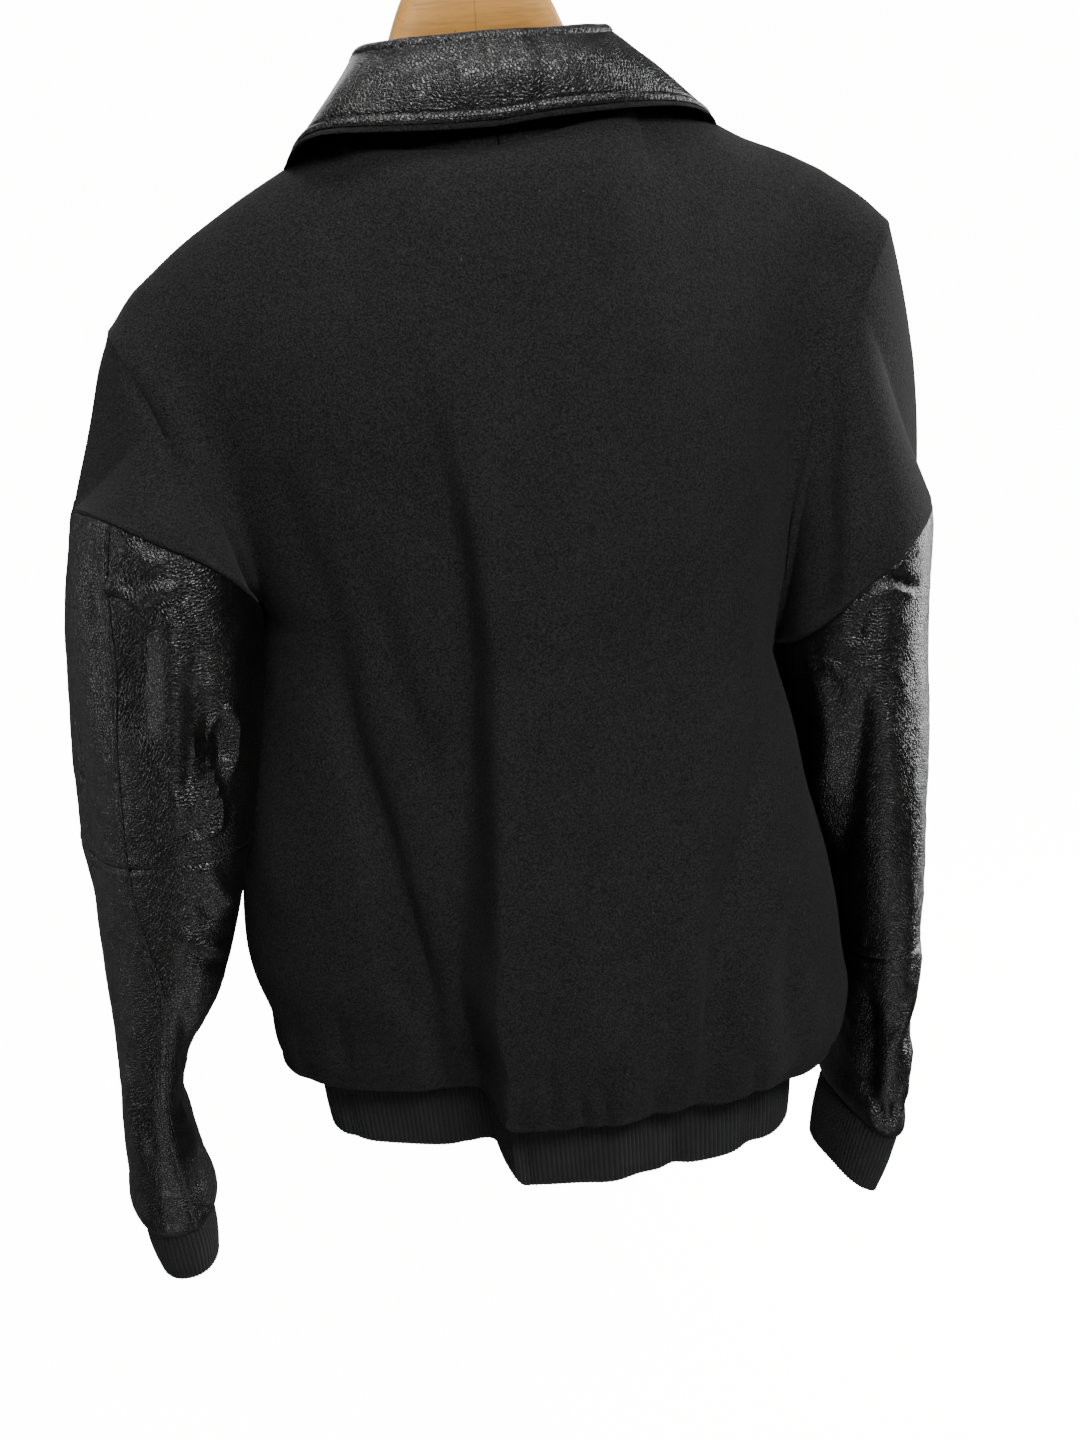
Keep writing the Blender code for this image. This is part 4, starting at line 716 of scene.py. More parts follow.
def top_edge(across, face):
    """Upper edge of a panel: half the neckline, then the shoulder's crest out to its turn."""
    size = np.abs(across)
    sign = np.where(across < 0, -1.0, 1.0)
    quarter = np.clip(size / NECK_SHARE, 0, 1) * math.pi / 2
    end_y, end_z = NECK_BACK if face > 0 else NECK_FRONT
    start_x, start_z, start_y = RIDGE_ROWS[0]
    neck_x = start_x * np.sin(quarter)
    neck_y = start_y + (end_y - start_y) * np.cos(quarter)
    neck_z = start_z + (end_z - start_z) * np.cos(quarter) ** NECK_DIP
    share = np.clip((size - NECK_SHARE) / (1 - NECK_SHARE), 0, 1)
    turn_x = np.where(sign > 0, arm("left")["turn_x"], arm("right")["turn_x"])
    turn_z = np.where(sign > 0, arm("left")["turn_z"], arm("right")["turn_z"])
    out = start_x + (turn_x - start_x) * share
    height, forward = read(RIDGE_ROWS, RIDGE_COLUMNS, "out", out, "height", "forward")
    last_x, last_z = RIDGE_ROWS[-1][:2]
    beyond = np.clip((out - last_x) / (turn_x - last_x), 0, 1)
    height = height + (turn_z + TILT * turn_x * sign - last_z) * beyond
    on_neck = size <= NECK_SHARE
    x = np.where(on_neck, neck_x, out) * sign
    y = np.where(on_neck, neck_y, forward)
    return x, y, tilt(x, np.where(on_neck, neck_z, height))


def softened_top(across, up, face):
    """Upper edge as the cloth below it follows it: the corner where neckline and shoulder meet is
    a mean over the edge to both sides, and comes out only close to the edge itself."""
    size = np.abs(across)
    share = ease(size, 0.05, 0.25) * (1 - ease(size, 0.50, 0.80)) * (1 - ease(up, 0.60, 1.0))
    offsets = np.linspace(-0.16, 0.16, 9)
    weights = np.cos(offsets / 0.16 * math.pi / 2.4)
    exact = top_edge(across, face)
    near = [top_edge(np.clip(across + offset, -1, 1), face) for offset in offsets]
    mean = [sum(w * edge[k] for w, edge in zip(weights, near)) / weights.sum() for k in range(3)]
    return [a + (b - a) * share for a, b in zip(exact, mean)]


def groove(side, rise, face):
    """Bottom of the fold between body and arm, from the underarm up to the shoulder's turn."""
    a = arm(side)
    t = np.asarray(rise, float)
    ends = ((1 - t) ** 2, 2 * t * (1 - t), t ** 2)
    x = ends[0] * UNDERARM_OUT + ends[1] * a["groove_x"] + ends[2] * a["turn_x"]
    y = GROOVE_BULGE * t ** GROOVE_RISE * np.sqrt(1 - t) * face + ends[2] * RIDGE_ROWS[-1][2]
    z = ends[0] * a["under_z"] + ends[1] * a["groove_z"] + ends[2] * a["turn_z"]
    return stack(a["sign"] * x, y, z)


def body_pit(side):
    """Where the body's side seam ends under the arm."""
    return groove(side, 0.0, 1) - np.array([arm(side)["sign"] * UNDERARM_WIDTH, 0.0, 0.0])


def body(across, rise, face):
    """Point of the wool body. rise 0 to 1 is hem to underarm, 1 to 2 underarm to shoulder."""
    across, rise = np.broadcast_arrays(np.asarray(across, float), np.asarray(rise, float))
    low = np.clip(rise, 0, 1)
    x, y = section(across, low, face)
    hem = read(HEM_ROWS, HEM_COLUMNS, "across", across, "back" if face > 0 else "front")[0]
    left, right = arm("left")["under_z"], arm("right")["under_z"]
    under = 0.5 * (left + right) + 0.5 * (left - right) * across
    z = hem + (under - hem) * low
    up = np.clip(rise - 1, 0, 1)
    top_x, top_y, top_z = softened_top(across, up, face)
    lift = np.sin(up * math.pi / 2) ** (2 / SHOULDER_POWER)
    keep = np.cos(up * math.pi / 2) ** (2 / SHOULDER_POWER)
    points = stack(x + (top_x - x) * lift ** 1.6, top_y + (y - top_y) * keep, z + (top_z - z) * lift)
    points[..., 1] -= face * relief(across, rise, face)
    for side in ARM_ROWS:
        sign = arm(side)["sign"]
        turn_x, turn_z, under_z = (arm(side)[name] for name in ("turn_x", "turn_z", "under_z"))
        edge = stack(sign * (UNDERARM_OUT + (turn_x - UNDERARM_OUT) * lift ** 1.6),
                     RIDGE_ROWS[-1][2] * (1 - keep), under_z + (turn_z - under_z) * lift)
        pull = np.where(across * sign > 0, np.abs(across), 0.0) ** PULL_POWER * (rise > 1)
        points = points + pull[..., None] * (groove(side, up, face) - edge)
    return points


def sleeve(side, turn, down):
    """Point of the leather sleeve: level superellipses between the sleeve seam and the cuff."""
    a = arm(side)
    turn, down = np.broadcast_arrays(np.asarray(turn, float), np.asarray(down, float))
    inward = 0.5 * (1 - np.cos(turn))
    start = a["seam_z"] + (a["under_z"] - a["seam_z"]) * inward
    start = start + a["seam_arch"] * np.clip(np.sin(turn), 0, 1)
    end = a["cuff_out"] + (a["cuff_in"] - a["cuff_out"]) * inward
    z = start + (end - start) * down
    outer, inner, back, front = read(SLEEVE_ROWS[side], SLEEVE_COLUMNS, "height", z,
                                     "outer", "inner", "back", "front")
    c, s = power_curve(turn, SLEEVE_POWER)
    dent = soft_folds(SLEEVE_FOLDS[side], np.degrees(turn) % 360.0, z)
    dent = dent * ease(down, 0.0, 0.06) * (1 - ease(down, 0.94, 1.0))
    half_x, half_y = 0.5 * (outer - inner) - dent, 0.5 * (back - front) - dent
    y = 0.5 * (back + front) + half_y * s
    lean = a["shear"] * ease(down, 0.0, 0.2) * (1 - ease(down, 0.55, 0.85))
    x = 0.5 * (outer + inner) + half_x * c - lean * y
    turn_mid, turn_half, z_mid, z_half, amount = SLEEVE_PRESS[side]
    off_middle = (np.degrees(turn) % 360.0 - turn_mid) / turn_half
    x = x - amount * np.exp(-off_middle ** 2 - ((z - z_mid) / z_half) ** 2) * ease(down, -0.02, 0.02)
    return stack(a["sign"] * x, y, z)


def seam_turns():
    """Turns of the sleeve seam's points, from the underarm over one face to the outer end."""
    return math.pi * (1 - np.arange(SEAM_STEPS + 1) / SEAM_STEPS)


def cap(side, face):
    """Arm cap between the groove and the sleeve seam, rounded out between them."""
    a = arm(side)
    turns = seam_turns()
    seam = sleeve(side, turns if face > 0 else 2 * math.pi - turns, 0.0)
    seam[0] = groove(side, 0.0, face)
    seam[-1] = sleeve(side, 0.0, 0.0)
    share = np.arange(1, RIDGE_STEPS + 1) / RIDGE_STEPS
    crest = seam[-1] + (groove(side, 1.0, face) - seam[-1]) * share[:, None]
    crest[:, 0] += a["sign"] * a["crest_bulge"] * np.sin(math.pi * share)
    outer = np.concatenate([seam, crest])
    rise = np.arange(len(outer)) / (len(outer) - 1)
    inner = groove(side, rise, face)
    over = (np.arange(CAP_STEPS + 1) / CAP_STEPS)[None, :, None]
    grid = inner[:, None, :] * (1 - over) + outer[:, None, :] * over
    swell = 4 * over[..., 0] * (1 - over[..., 0]) * np.sin(math.pi * rise)[:, None] * CAP_BULGE
    grid[..., 1] += face * swell
    return grid


def rises():
    """Heights of the body's rows: the lower rows, then the rows that end on the arm caps."""
    steps = SEAM_STEPS + RIDGE_STEPS
    return np.concatenate([spans(LOWER_PARTS), 1 + np.arange(1, steps + 1) / steps])


def hem_roll(grid, rise, droop):
    """Let the wool sag over the band: down by droop sin(pi t^0.7), t from 0 to 1 over the lowest rows."""
    t = np.clip(rise / LOWER_PARTS[0][1], 0, 1)
    grid[..., 2] -= (droop * np.sin(math.pi * t ** 0.7))[:, None]
    return grid


def front_columns(side):
    columns = spans(((-LAP, 0.0, 6), (0.0, NECK_SHARE, 30), (NECK_SHARE, 1.0, 44)))
    return columns if side == "left" else -columns


def front_grid(side, droop):
    """One front. At the centre the wearer's right front passes inside the left one."""
    across = front_columns(side)
    rise = rises()
    grid = body(across[None, :], rise[:, None], -1)
    if side == "right":
        inside = LAP_STEP * ease(across, -LAP - LAP_FADE, -LAP)
        level = np.minimum(rise, LAP_LEVEL)[:, None]
        reach = 0.01
        sideways = body(across + reach, level, -1) - body(across - reach, level, -1)
        high, low = np.clip(level + reach, 0, 2), np.clip(level - reach, 0, 2)
        upward = body(across, high, -1) - body(across, low, -1)
        grid = grid - unit(np.cross(sideways, upward)) * inside[None, :, None]
    return hem_roll(grid, rise, droop)


def pin_edges(grid, face, left_column, right_column):
    """Lay the side columns above the underarm exactly on the grooves of the arm caps."""
    steps = SEAM_STEPS + RIDGE_STEPS
    first = len(rises()) - 1 - steps
    rise = np.arange(steps + 1) / steps
    for side, at in (("left", left_column), ("right", right_column)):
        if at is not None:
            grid[first:, at] = groove(side, rise, face)
            grid[first, at] = body_pit(side)
    return grid


def sleeve_grid(side, roll):
    """Sleeve as a closed grid. Above the cuff it swells out and sags by roll sin(pi t)."""
    half = seam_turns()
    turns = np.concatenate([half, 2 * math.pi - half[-2::-1]])
    down = np.arange(SLEEVE_RINGS + 1) / SLEEVE_RINGS
    lifted = ELBOW_LIFT[side] * 0.5 * (1 - np.cos(turns))[None, :] * (np.sin(math.pi * down) ** 2)[:, None]
    grid = sleeve(side, turns[None, :], down[:, None] - lifted)
    t = np.clip((down - 0.93) / 0.07, 0, 1)
    swell = (roll * np.sin(math.pi * t))[:, None]
    centre = grid.mean(axis=1, keepdims=True)
    grid += unit((grid - centre) * np.array([1.0, 1.0, 0.0])) * swell[..., None]
    grid[..., 2] -= swell * 1.2
    grid[0, 0] = groove(side, 0.0, 1)
    grid[:, -1] = grid[:, 0]
    return grid


class Shell:
    """All sewn wool and leather panels as one net, so that panels which meet share their points."""

    def __init__(self, wool, leather):
        parts = []
        back = pin_edges(hem_roll(body(spans(COLUMN_PARTS)[None, :], rises()[:, None], 1), rises(),
                                  wool.droop), 1, -1, 0)
        parts.append(("back", "body_back", back, (0.0, -0.02)))
        for side, columns in (("left", (-1, None)), ("right", (None, -1))):
            grid = pin_edges(front_grid(side, wool.droop), -1, *columns)
            parts.append(("front_" + side, "body_front_" + side, grid, (0.0, 0.02)))
        steps = SEAM_STEPS + RIDGE_STEPS
        for side in ARM_ROWS:
            sign = arm(side)["sign"]
            centre = (sign * 0.5 * (UNDERARM_OUT + arm(side)["seam_x"]), 0.0)
            for panel, face in (("back", 1), ("front_" + side, -1)):
                parts.append((panel, "cap_%s_%d" % (side, face), cap(side, face), centre))
                up = groove(side, 1 / steps, face)
                gusset = np.array([[body_pit(side), body_pit(side)], [groove(side, 0.0, face), up]])
                beside = (sign * UNDERARM_OUT, -face * 0.1)
                parts.append((panel, "gusset_%s_%d" % (side, face), gusset, beside))
            grid = sleeve_grid(side, leather.roll)
            elbow = int(round(arm(side)["elbow"] * SLEEVE_RINGS))
            for part, rows in (("upper", grid[:elbow + 1]), ("lower", grid[elbow:])):
                key = "sleeve_%s_%s" % (side, part)
                parts.append((key, key, rows, (sign * 0.24, 0.0)))
        self.points, ids = joined([part[2] for part in parts])
        self.ids = {part[1]: grid for part, grid in zip(parts, ids)}
        self.triangles = {}
        for (panel, key, grid, axis), numbers in zip(parts, ids):
            cells = split_quads(numbers, faces_inward(grid, axis))
            if panel in self.triangles:
                cells = np.concatenate([self.triangles[panel], cells])
            self.triangles[panel] = cells
        self.round_shoulders()
        self.dress(wool, leather)

    def round_shoulders(self):
        """Raise each shoulder's turn by a wide bell and take its corner down by a narrow one."""
        place, width, depth = NECK_HOLLOW
        wide_half, narrow_half = SHOULDER_BELLS
        for side, (wide, narrow) in SHOULDER_ROUND.items():
            corner = groove(side, 1.0, 1)
            away = np.linalg.norm(self.points - corner, axis=1)
            inward = unit(np.array([-arm(side)["sign"], 0.0, -1.0]))
            if side == "right":
                near_neck = np.linalg.norm(self.points - np.array(place), axis=1)
                self.points[:, 2] -= depth * np.exp(-(near_neck / width) ** 2)
            self.points = (self.points + np.exp(-(away / wide_half) ** 2)[:, None] * np.array(wide)
                           + (np.exp(-(away / narrow_half) ** 2) * narrow)[:, None] * inward)

    def all_normals(self):
        return vertex_normals(self.points, np.concatenate(list(self.triangles.values())))

    def dress(self, wool, leather):
        """Creases, soft unevenness and seams, added along the normals."""
        points, normals = self.points, self.all_normals()
        lift = np.zeros(len(points))
        cloth = {name: np.unique(cells) for name, cells in self.triangles.items()}
        for panel in ("back", "front_left", "front_right"):
            own = cloth[panel]
            rows, face = (BACK_CREASES, 1) if panel == "back" else (FRONT_CREASES, -1)
            rise = creases(points[own], normals[own], rows, face)
            rise += wool.unevenness * (lumps(points[own], 0.060, 3) + 0.45 * lumps(points[own], 0.022, 4))
            lift[own] = rise
        for side in ARM_ROWS:
            for part in ("upper", "lower"):
                own = cloth["sleeve_%s_%s" % (side, part)]
                rise = creases(points[own], normals[own], SLEEVE_BACK_CREASES[side], 1)
                rise += creases(points[own], normals[own], SLEEVE_FRONT_CREASES[side], -1)
                warped = points[own] * np.array([1.0, 1.0, 0.55])
                warped += 0.004 * np.stack([lumps(points[own], 0.03, 11 + k) for k in range(3)], -1)
                ridged = 1 - 2 * np.abs(lumps(warped, 0.016, 7))
                small = 1 - 2 * np.abs(lumps(warped * np.array([1, 1, 1.6]), 0.007, 8))
                rise += leather.wrinkles * (0.9 * lumps(warped, 0.035, 6) + 0.5 * ridged + 0.22 * small)
                lift[own] = rise
        pit = np.stack([groove(side, 0.0, 1) for side in ARM_ROWS])
        lift *= ease(nearest_distance(points, pit, 0.06), 0.004, 0.05)
        for side in ARM_ROWS:
            upper, lower = self.ids["sleeve_%s_upper" % side], self.ids["sleeve_%s_lower" % side]
            self.sink_seam(lift, points, points[upper[0]], cloth, side)
            elbow = nearest_distance(points, points[lower[0]])
            lift -= 0.9 * MM * np.exp(-(elbow / (1.3 * MM)) ** 2)
            lift += 0.5 * MM * np.exp(-((elbow - 3.5 * MM) / (2.0 * MM)) ** 2)
            end = nearest_distance(points, points[lower[-1]])
            lift *= ease(end, 0.0, 0.012)
        for panel in ("back", "front_left", "front_right"):
            own = cloth[panel]
            ring = np.unique(border(self.triangles[panel], len(points)))
            gap = nearest_distance(points[own], points[ring], 0.01)
            lift[own] -= 0.6 * MM * np.exp(-(gap / (1.2 * MM)) ** 2)
        self.points = points + normals * lift[:, None]
        self.normals = self.all_normals()

    def sink_seam(self, lift, points, seam, cloth, side):
        """At the sleeve seam the wool rolls up a little and the leather starts below it."""
        gap = nearest_distance(points, seam)
        steady = ease(gap, 0.0, 0.010)
        wool_side = np.zeros(len(points), bool)
        for panel in ("back", "front_" + side):
            wool_side[cloth[panel]] = True
        lift *= steady
        lift += np.where(wool_side, 0.9 * MM * np.exp(-((gap - 2.2 * MM) / (2.0 * MM)) ** 2), 0.0)
        lift -= np.where(wool_side, 0.3, 0.9) * MM * np.exp(-(gap / (1.4 * MM)) ** 2)

    def piece(self, panel, name, thickness, material, slot, replaced):
        points, faces = closed_sheet(self.points, self.normals, self.triangles[panel], thickness, SEAM / 2)
        return link(name, points, faces, material, replaced)

    def grid(self, key):
        return self.points[self.ids[key]], self.normals[self.ids[key]]


def on_grid(places, normals, column_at, row_at):
    """Places and normals of a fine grid at fractional column and row numbers, blended between four."""
    c = np.clip(np.floor(column_at).astype(int), 0, places.shape[1] - 2)
    r = np.clip(np.floor(row_at).astype(int), 0, places.shape[0] - 2)
    u, v = (column_at - c)[..., None], (row_at - r)[..., None]
    mix = [(1 - u) * (1 - v), u * (1 - v), (1 - u) * v, u * v]
    at = [(r, c), (r, c + 1), (r + 1, c), (r + 1, c + 1)]
    place = sum(share * places[index] for share, index in zip(mix, at))
    return place, unit(sum(share * normals[index] for share, index in zip(mix, at)))


# ================================================================ stitches and tubes

def stitch_row(line, normals, pitch, length, radius):
    """Points and faces of a row of stitches along a line on a surface.

    Each stitch is a short spindle of five sides whose ends dip into the surface: radius
    sqrt(1 - s^2) for s from -1 to 1 along it.
    """
    run = np.concatenate([[0], np.cumsum(np.linalg.norm(np.diff(line, axis=0), axis=1))])
    at = np.arange(pitch / 2, run[-1] - pitch / 2, pitch)
    middle = np.stack([np.interp(at, run, line[:, k]) for k in range(3)], -1)
    ahead = np.stack([np.interp(at + length / 2, run, line[:, k]) for k in range(3)], -1)
    up = unit(np.stack([np.interp(at, run, normals[:, k]) for k in range(3)], -1))
    along = unit(ahead - middle)
    side = unit(np.cross(up, along))
    s = np.array([-1.0, -0.55, 0.55, 1.0])
    angles = 2 * math.pi * np.arange(5) / 5
    size = np.sqrt(np.clip(1 - s ** 2, 0.04, 1))
    local = np.stack([np.repeat(s * length / 2, 5), (size[:, None] * np.cos(angles) * radius).ravel(),
                      (size[:, None] * np.sin(angles) * radius + 0.25 * radius
                       - 0.9 * radius * s[:, None] ** 2).ravel()], -1)
    points = (middle[:, None, :] + local[None, :, :1] * along[:, None, :]
              + local[None, :, 1:2] * side[:, None, :] + local[None, :, 2:] * up[:, None, :])
    ring = np.arange(5)
    after = (ring + 1) % 5
    faces = [np.stack([k * 5 + ring, k * 5 + after, (k + 1) * 5 + after], -1) for k in range(3)]
    faces += [np.stack([k * 5 + ring, (k + 1) * 5 + after, (k + 1) * 5 + ring], -1) for k in range(3)]
    caps = np.array([[0, 2, 1], [0, 3, 2], [0, 4, 3], [15, 16, 17], [15, 17, 18], [15, 18, 19]])
    one = np.concatenate(faces + [caps])
    every = one[None, :, :] + (np.arange(len(at)) * 20)[:, None, None]
    return points.reshape(-1, 3), every.reshape(-1, 3)


def stitching(name, rows, material, thread):
    """One piece with all the stitches of several (line, normals) rows."""
    points, faces, count = [], [], 0
    for line, normals in rows:
        more, cells = stitch_row(line, normals, thread.pitch, thread.length, thread.thread / 2)
        points.append(more)
        faces.append(cells + count)
        count += len(more)
    return link(name, np.concatenate(points), np.concatenate(faces), material)


def even_ring(path, count):
    """Closed path resampled at count equal steps."""
    closed = np.concatenate([path, path[:1]])
    run = np.concatenate([[0], np.cumsum(np.linalg.norm(np.diff(closed, axis=0), axis=1))])
    at = np.arange(count) * run[-1] / count
    return np.stack([np.interp(at, run, closed[:, k]) for k in range(3)], -1), run[-1]


def ring_normals(ring, reach):
    """Level normals of a closed ring, pointing away from its middle, from points reach steps apart."""
    step = np.roll(ring, -reach, axis=0) - np.roll(ring, reach, axis=0)
    out = unit(np.stack([-step[:, 1], step[:, 0], 0 * step[:, 0]], -1))
    return out if (out * (ring - ring.mean(axis=0))).sum() > 0 else -out


def rib_tube(name, ring_at, depth, knit, material, replaced, swell, seed):
    """Rib-knit tube with rounded ribs outside, a turned lower edge and a plain inside.

    ring_at(h) gives the base ring at height share h, 0 at the top. Each rib is raised by
    (0.5 + 0.5 cos(2 pi p))^0.7 over its pitch, p being the place across it.
    """
    outer = np.linspace(0, 1, 22)
    round_off = np.array([30, 60, 90, 120, 150]) / 180 * math.pi
    half = KNIT / 2
    share = np.concatenate([outer, 1 + half / depth * np.sin(round_off), outer[::-3]])
    offset = np.concatenate([0 * outer, half * np.cos(round_off) - half, 0 * outer[::-3] - KNIT])
    ribbed = np.concatenate([ease(outer, 0, 0.04), np.cos(round_off / 2) ** 2, 0 * outer[::-3]])
    base = ring_at(0.0)
    count = len(base)
    out = ring_normals(base, knit.smooth)
    phase = (np.arange(count) % RIB_SIDES) / RIB_SIDES
    raised = knit.rib_height * (0.5 + 0.5 * np.cos(2 * math.pi * phase)) ** 0.7
    rows = []
    for h, o, r in zip(share, offset, ribbed):
        ring = ring_at(h)
        wave = lumps(ring * np.array([1.0, 1.0, 0.5]), 0.030, seed) * knit.waviness * min(h * 4, 1.0)
        rows.append(ring + out * (o + r * raised + swell * math.sin(math.pi * min(h, 1.0)) + wave)[:, None])
    points = np.stack(rows)
    total = len(rows)
    r, k = np.meshgrid(np.arange(total), np.arange(count), indexing="ij")
    below, after = (r + 1) % total, (k + 1) % count
    faces = np.stack([r * count + k, r * count + after, below * count + after, below * count + k], -1)
    faces = faces.reshape(-1, 4)
    flat = points.reshape(-1, 3)
    a, b, c = (flat[faces[count * 4:count * 5, n]] for n in range(3))
    if (np.cross(b - a, c - a) * out).sum() < 0:
        faces = faces[:, ::-1]
    # wale is 0 on a rib's top and 1 in the valley beside it; the knit's material uses it for the slant of its
    # loops and as the mask of its painted valley shade
    wale = np.abs((phase + 0.5) % 1.0 - 0.5) * 2
    attributes = {"wale": np.tile(wale, total), "course": np.repeat(share * depth / MM, count)}
    return link(name, flat, faces, material, replaced, 70.0, attributes)


# ================================================================ collar

def neck_seam(turn):
    """Point of the neck seam; turn 0 is the centre back, 90 degrees the side of the neck."""
    start_x, start_z, start_y = RIDGE_ROWS[0]
    c = np.cos(turn)
    end_y = np.where(c >= 0, NECK_BACK[0], NECK_FRONT[0])
    end_z = np.where(c >= 0, NECK_BACK[1], NECK_FRONT[1])
    x = start_x * np.sin(turn)
    y = start_y + (end_y - start_y) * np.abs(c)
    z = start_z + (end_z - start_z) * np.abs(c) ** NECK_DIP
    return stack(x, y, tilt(x, z))


def fold_line(turn):
    """Line of the fold: an ellipse round the neck, level behind, lower at the sides, down in front."""
    c, s = np.cos(turn), np.sin(turn)
    x = np.where(s >= 0, FOLD_HALF["left"], FOLD_HALF["right"]) * s
    y = np.where(c >= 0, FOLD_BACK[0] * c, -FOLD_FRONT[0] * c)
    side_z = np.where(s >= 0, FOLD_SIDE_Z["left"], FOLD_SIDE_Z["right"])
    middle_z = FOLD_BACK[1] + np.clip(s, -1, 1) * FOLD_SLOPE
    z = np.where(c >= 0, side_z + (middle_z - side_z) * np.clip(c, 0, 1) ** FOLD_SIDE_POWER,
                 side_z + (FOLD_FRONT[1] - side_z) * c * c)
    return stack(x, y, z)


def collar_edge(turn):
    """Lower edge of the fall: level along the back, down over the shoulder, and out to a point in front.

    The back half is read from its rows. The front half runs from the side to the point with the
    forward share f = -cos(turn): out to the spread by f^2, forward by f, down by f^1.6.
    """
    c, s = np.cos(turn), np.sin(turn)
    degrees = np.degrees(np.arccos(np.clip(c, -1, 1)))
    rows = [read(EDGE_ROWS[side], EDGE_COLUMNS, "turn", degrees, "out", "back", "height")
            for side in ("left", "right")]
    half, depth, height = (np.where(s >= 0, left, right) for left, right in zip(*rows))
    forward = np.clip(-c, 0, 1)
    x = half + (POINT_SPREAD - half) * forward ** 2
    y = depth + EDGE_FRONT[0] * forward
    z = height + (EDGE_FRONT[1] - height) * forward ** 1.6
    return stack(x * np.where(s >= 0, 1.0, -1.0), y, z)


def fold_out(turn):
    """Level unit normal of the fold line, away from the neck."""
    c, s = np.cos(turn), np.sin(turn)
    depth = np.where(c >= 0, FOLD_BACK[0], -FOLD_FRONT[0])
    return unit(stack(depth * s, 0.5 * (FOLD_HALF["left"] + FOLD_HALF["right"]) * c, 0 * c))


FALL_SHARES = np.concatenate([np.linspace(0, 0.84, 27)[1:], np.linspace(0.84, 1.0, 17)[1:]])


def collar_grid(turn):
    """Right side of the leather: up the neck side of the stand, over the fold, down the fall."""
    neck, fold, edge = neck_seam(turn), fold_line(turn), collar_edge(turn)
    out = fold_out(turn)
    up = np.array([0.0, 0.0, 1.0])
    foot = neck - out * (COLLAR_STACK + COLLAR_CLEAR) + up * COLLAR_CLEAR
    hub = fold - up * FOLD_RADIUS
    rows = [foot + (hub - out * FOLD_RADIUS - foot) * share for share in np.arange(10) / 10]
    for angle in np.linspace(0, math.pi, 12):
        rows.append(hub - out * FOLD_RADIUS * math.cos(angle) + up * FOLD_RADIUS * math.sin(angle))
    shoulder = hub + out * FOLD_RADIUS
    beside = np.where(np.sin(turn) >= 0, FALL_SIDE_BULGE["left"], FALL_SIDE_BULGE["right"])
    bulge = (beside + (FALL_BACK_BULGE - beside) * np.abs(np.cos(turn)))[:, None]
    for share in FALL_SHARES:
        rows.append(shoulder + (edge - shoulder) * share + (out + up) * bulge * math.sin(math.pi * share))
    return np.stack(rows)


def collar_turns():
    return np.radians(np.linspace(-165, 165, COLLAR_TURNS + 1))


def grid_normals(grid):
    """Normals of a grid from the steps along its rows and columns."""
    return unit(np.cross(np.gradient(grid, axis=0), np.gradient(grid, axis=1)))


# ================================================================ settings

def linear(code):
    """Linear colour of an sRGB hex code."""
    values = [int(code[k:k + 2], 16) / 255 for k in (1, 3, 5)]
    return tuple(v / 12.92 if v <= 0.04045 else ((v + 0.055) / 1.055) ** 2.4 for v in values)


def colour(name, code, description):
    return bpy.props.FloatVectorProperty(name=name, description=description, default=linear(code),
                                         subtype="COLOR", size=3, min=0.0, max=1.0)


def length(name, default, description):
    return bpy.props.FloatProperty(name=name, description=description, default=default,
                                   unit="LENGTH", precision=5)


class JacketWool(bpy.types.PropertyGroup):
    """Melton wool of the body and the under collar."""
    nap: colour("Nap", "#1a1a1a", "Colour of the felted nap")
    lint: colour("Lint", "#4a4846", "Colour of stray pale fibres")
    droop: length("Hem roll", 0.0090, "How far the wool sags over the waistband")
    unevenness: length("Unevenness", 0.0006, "Height of the soft unevenness of hanging wool")


class JacketLeather(bpy.types.PropertyGroup):
    """Pebbled cowhide of the sleeves and the collar."""
    hide: colour("Hide", "#050505", "Colour of the dyed hide")
    rubbed: colour("Rubbed grain", "#0f0e0c", "Colour of the raised grain where it is rubbed")
    roll: length("Sleeve end roll", 0.0035, "How far the sleeve swells over the cuff")
    wrinkles: length("Wrinkles", 0.0011, "Height of the soft wrinkles")
    edge_stitch: length("Edge stitching", 0.0058, "Distance of the topstitching from the collar's edge")


class JacketKnit(bpy.types.PropertyGroup):
    """Rib knit of the waistband and the cuffs."""
    yarn: colour("Yarn", "#1e1e1f", "Colour of the yarn")
    rib_pitch: length("Rib pitch", 0.00315, "Distance from rib to rib")
    rib_height: length("Rib height", 0.00085, "Height of a rib over the valley beside it")
    waviness: length("Waviness", 0.0012, "Height of the soft waves along the knit")
    smooth: bpy.props.IntProperty(name="Smoothing", default=10, min=1, max=60,
                                  description="Ring points over which its direction is taken")


class JacketThread(bpy.types.PropertyGroup):
    """Polyester topstitching thread."""
    thread: length("Thread", 0.00060, "Thickness of the thread")
    pitch: length("Stitch pitch", 0.0034, "Distance from stitch to stitch")
    length: length("Stitch length", 0.0028, "Length of one stitch")
    tint: colour("Tint", "#121212", "Colour of the thread")


class JacketHanger(bpy.types.PropertyGroup):
    """Varnished hanger and its hook."""
    wood: colour("Wood", "#c8924c", "Colour of the varnished wood")
    grain: colour("Grain", "#9b642c", "Colour of the grain lines")
    steel: colour("Steel", "#b9b9bb", "Colour of the hook")
    snap: colour("Snap enamel", "#0f0f10", "Colour of the snap caps")


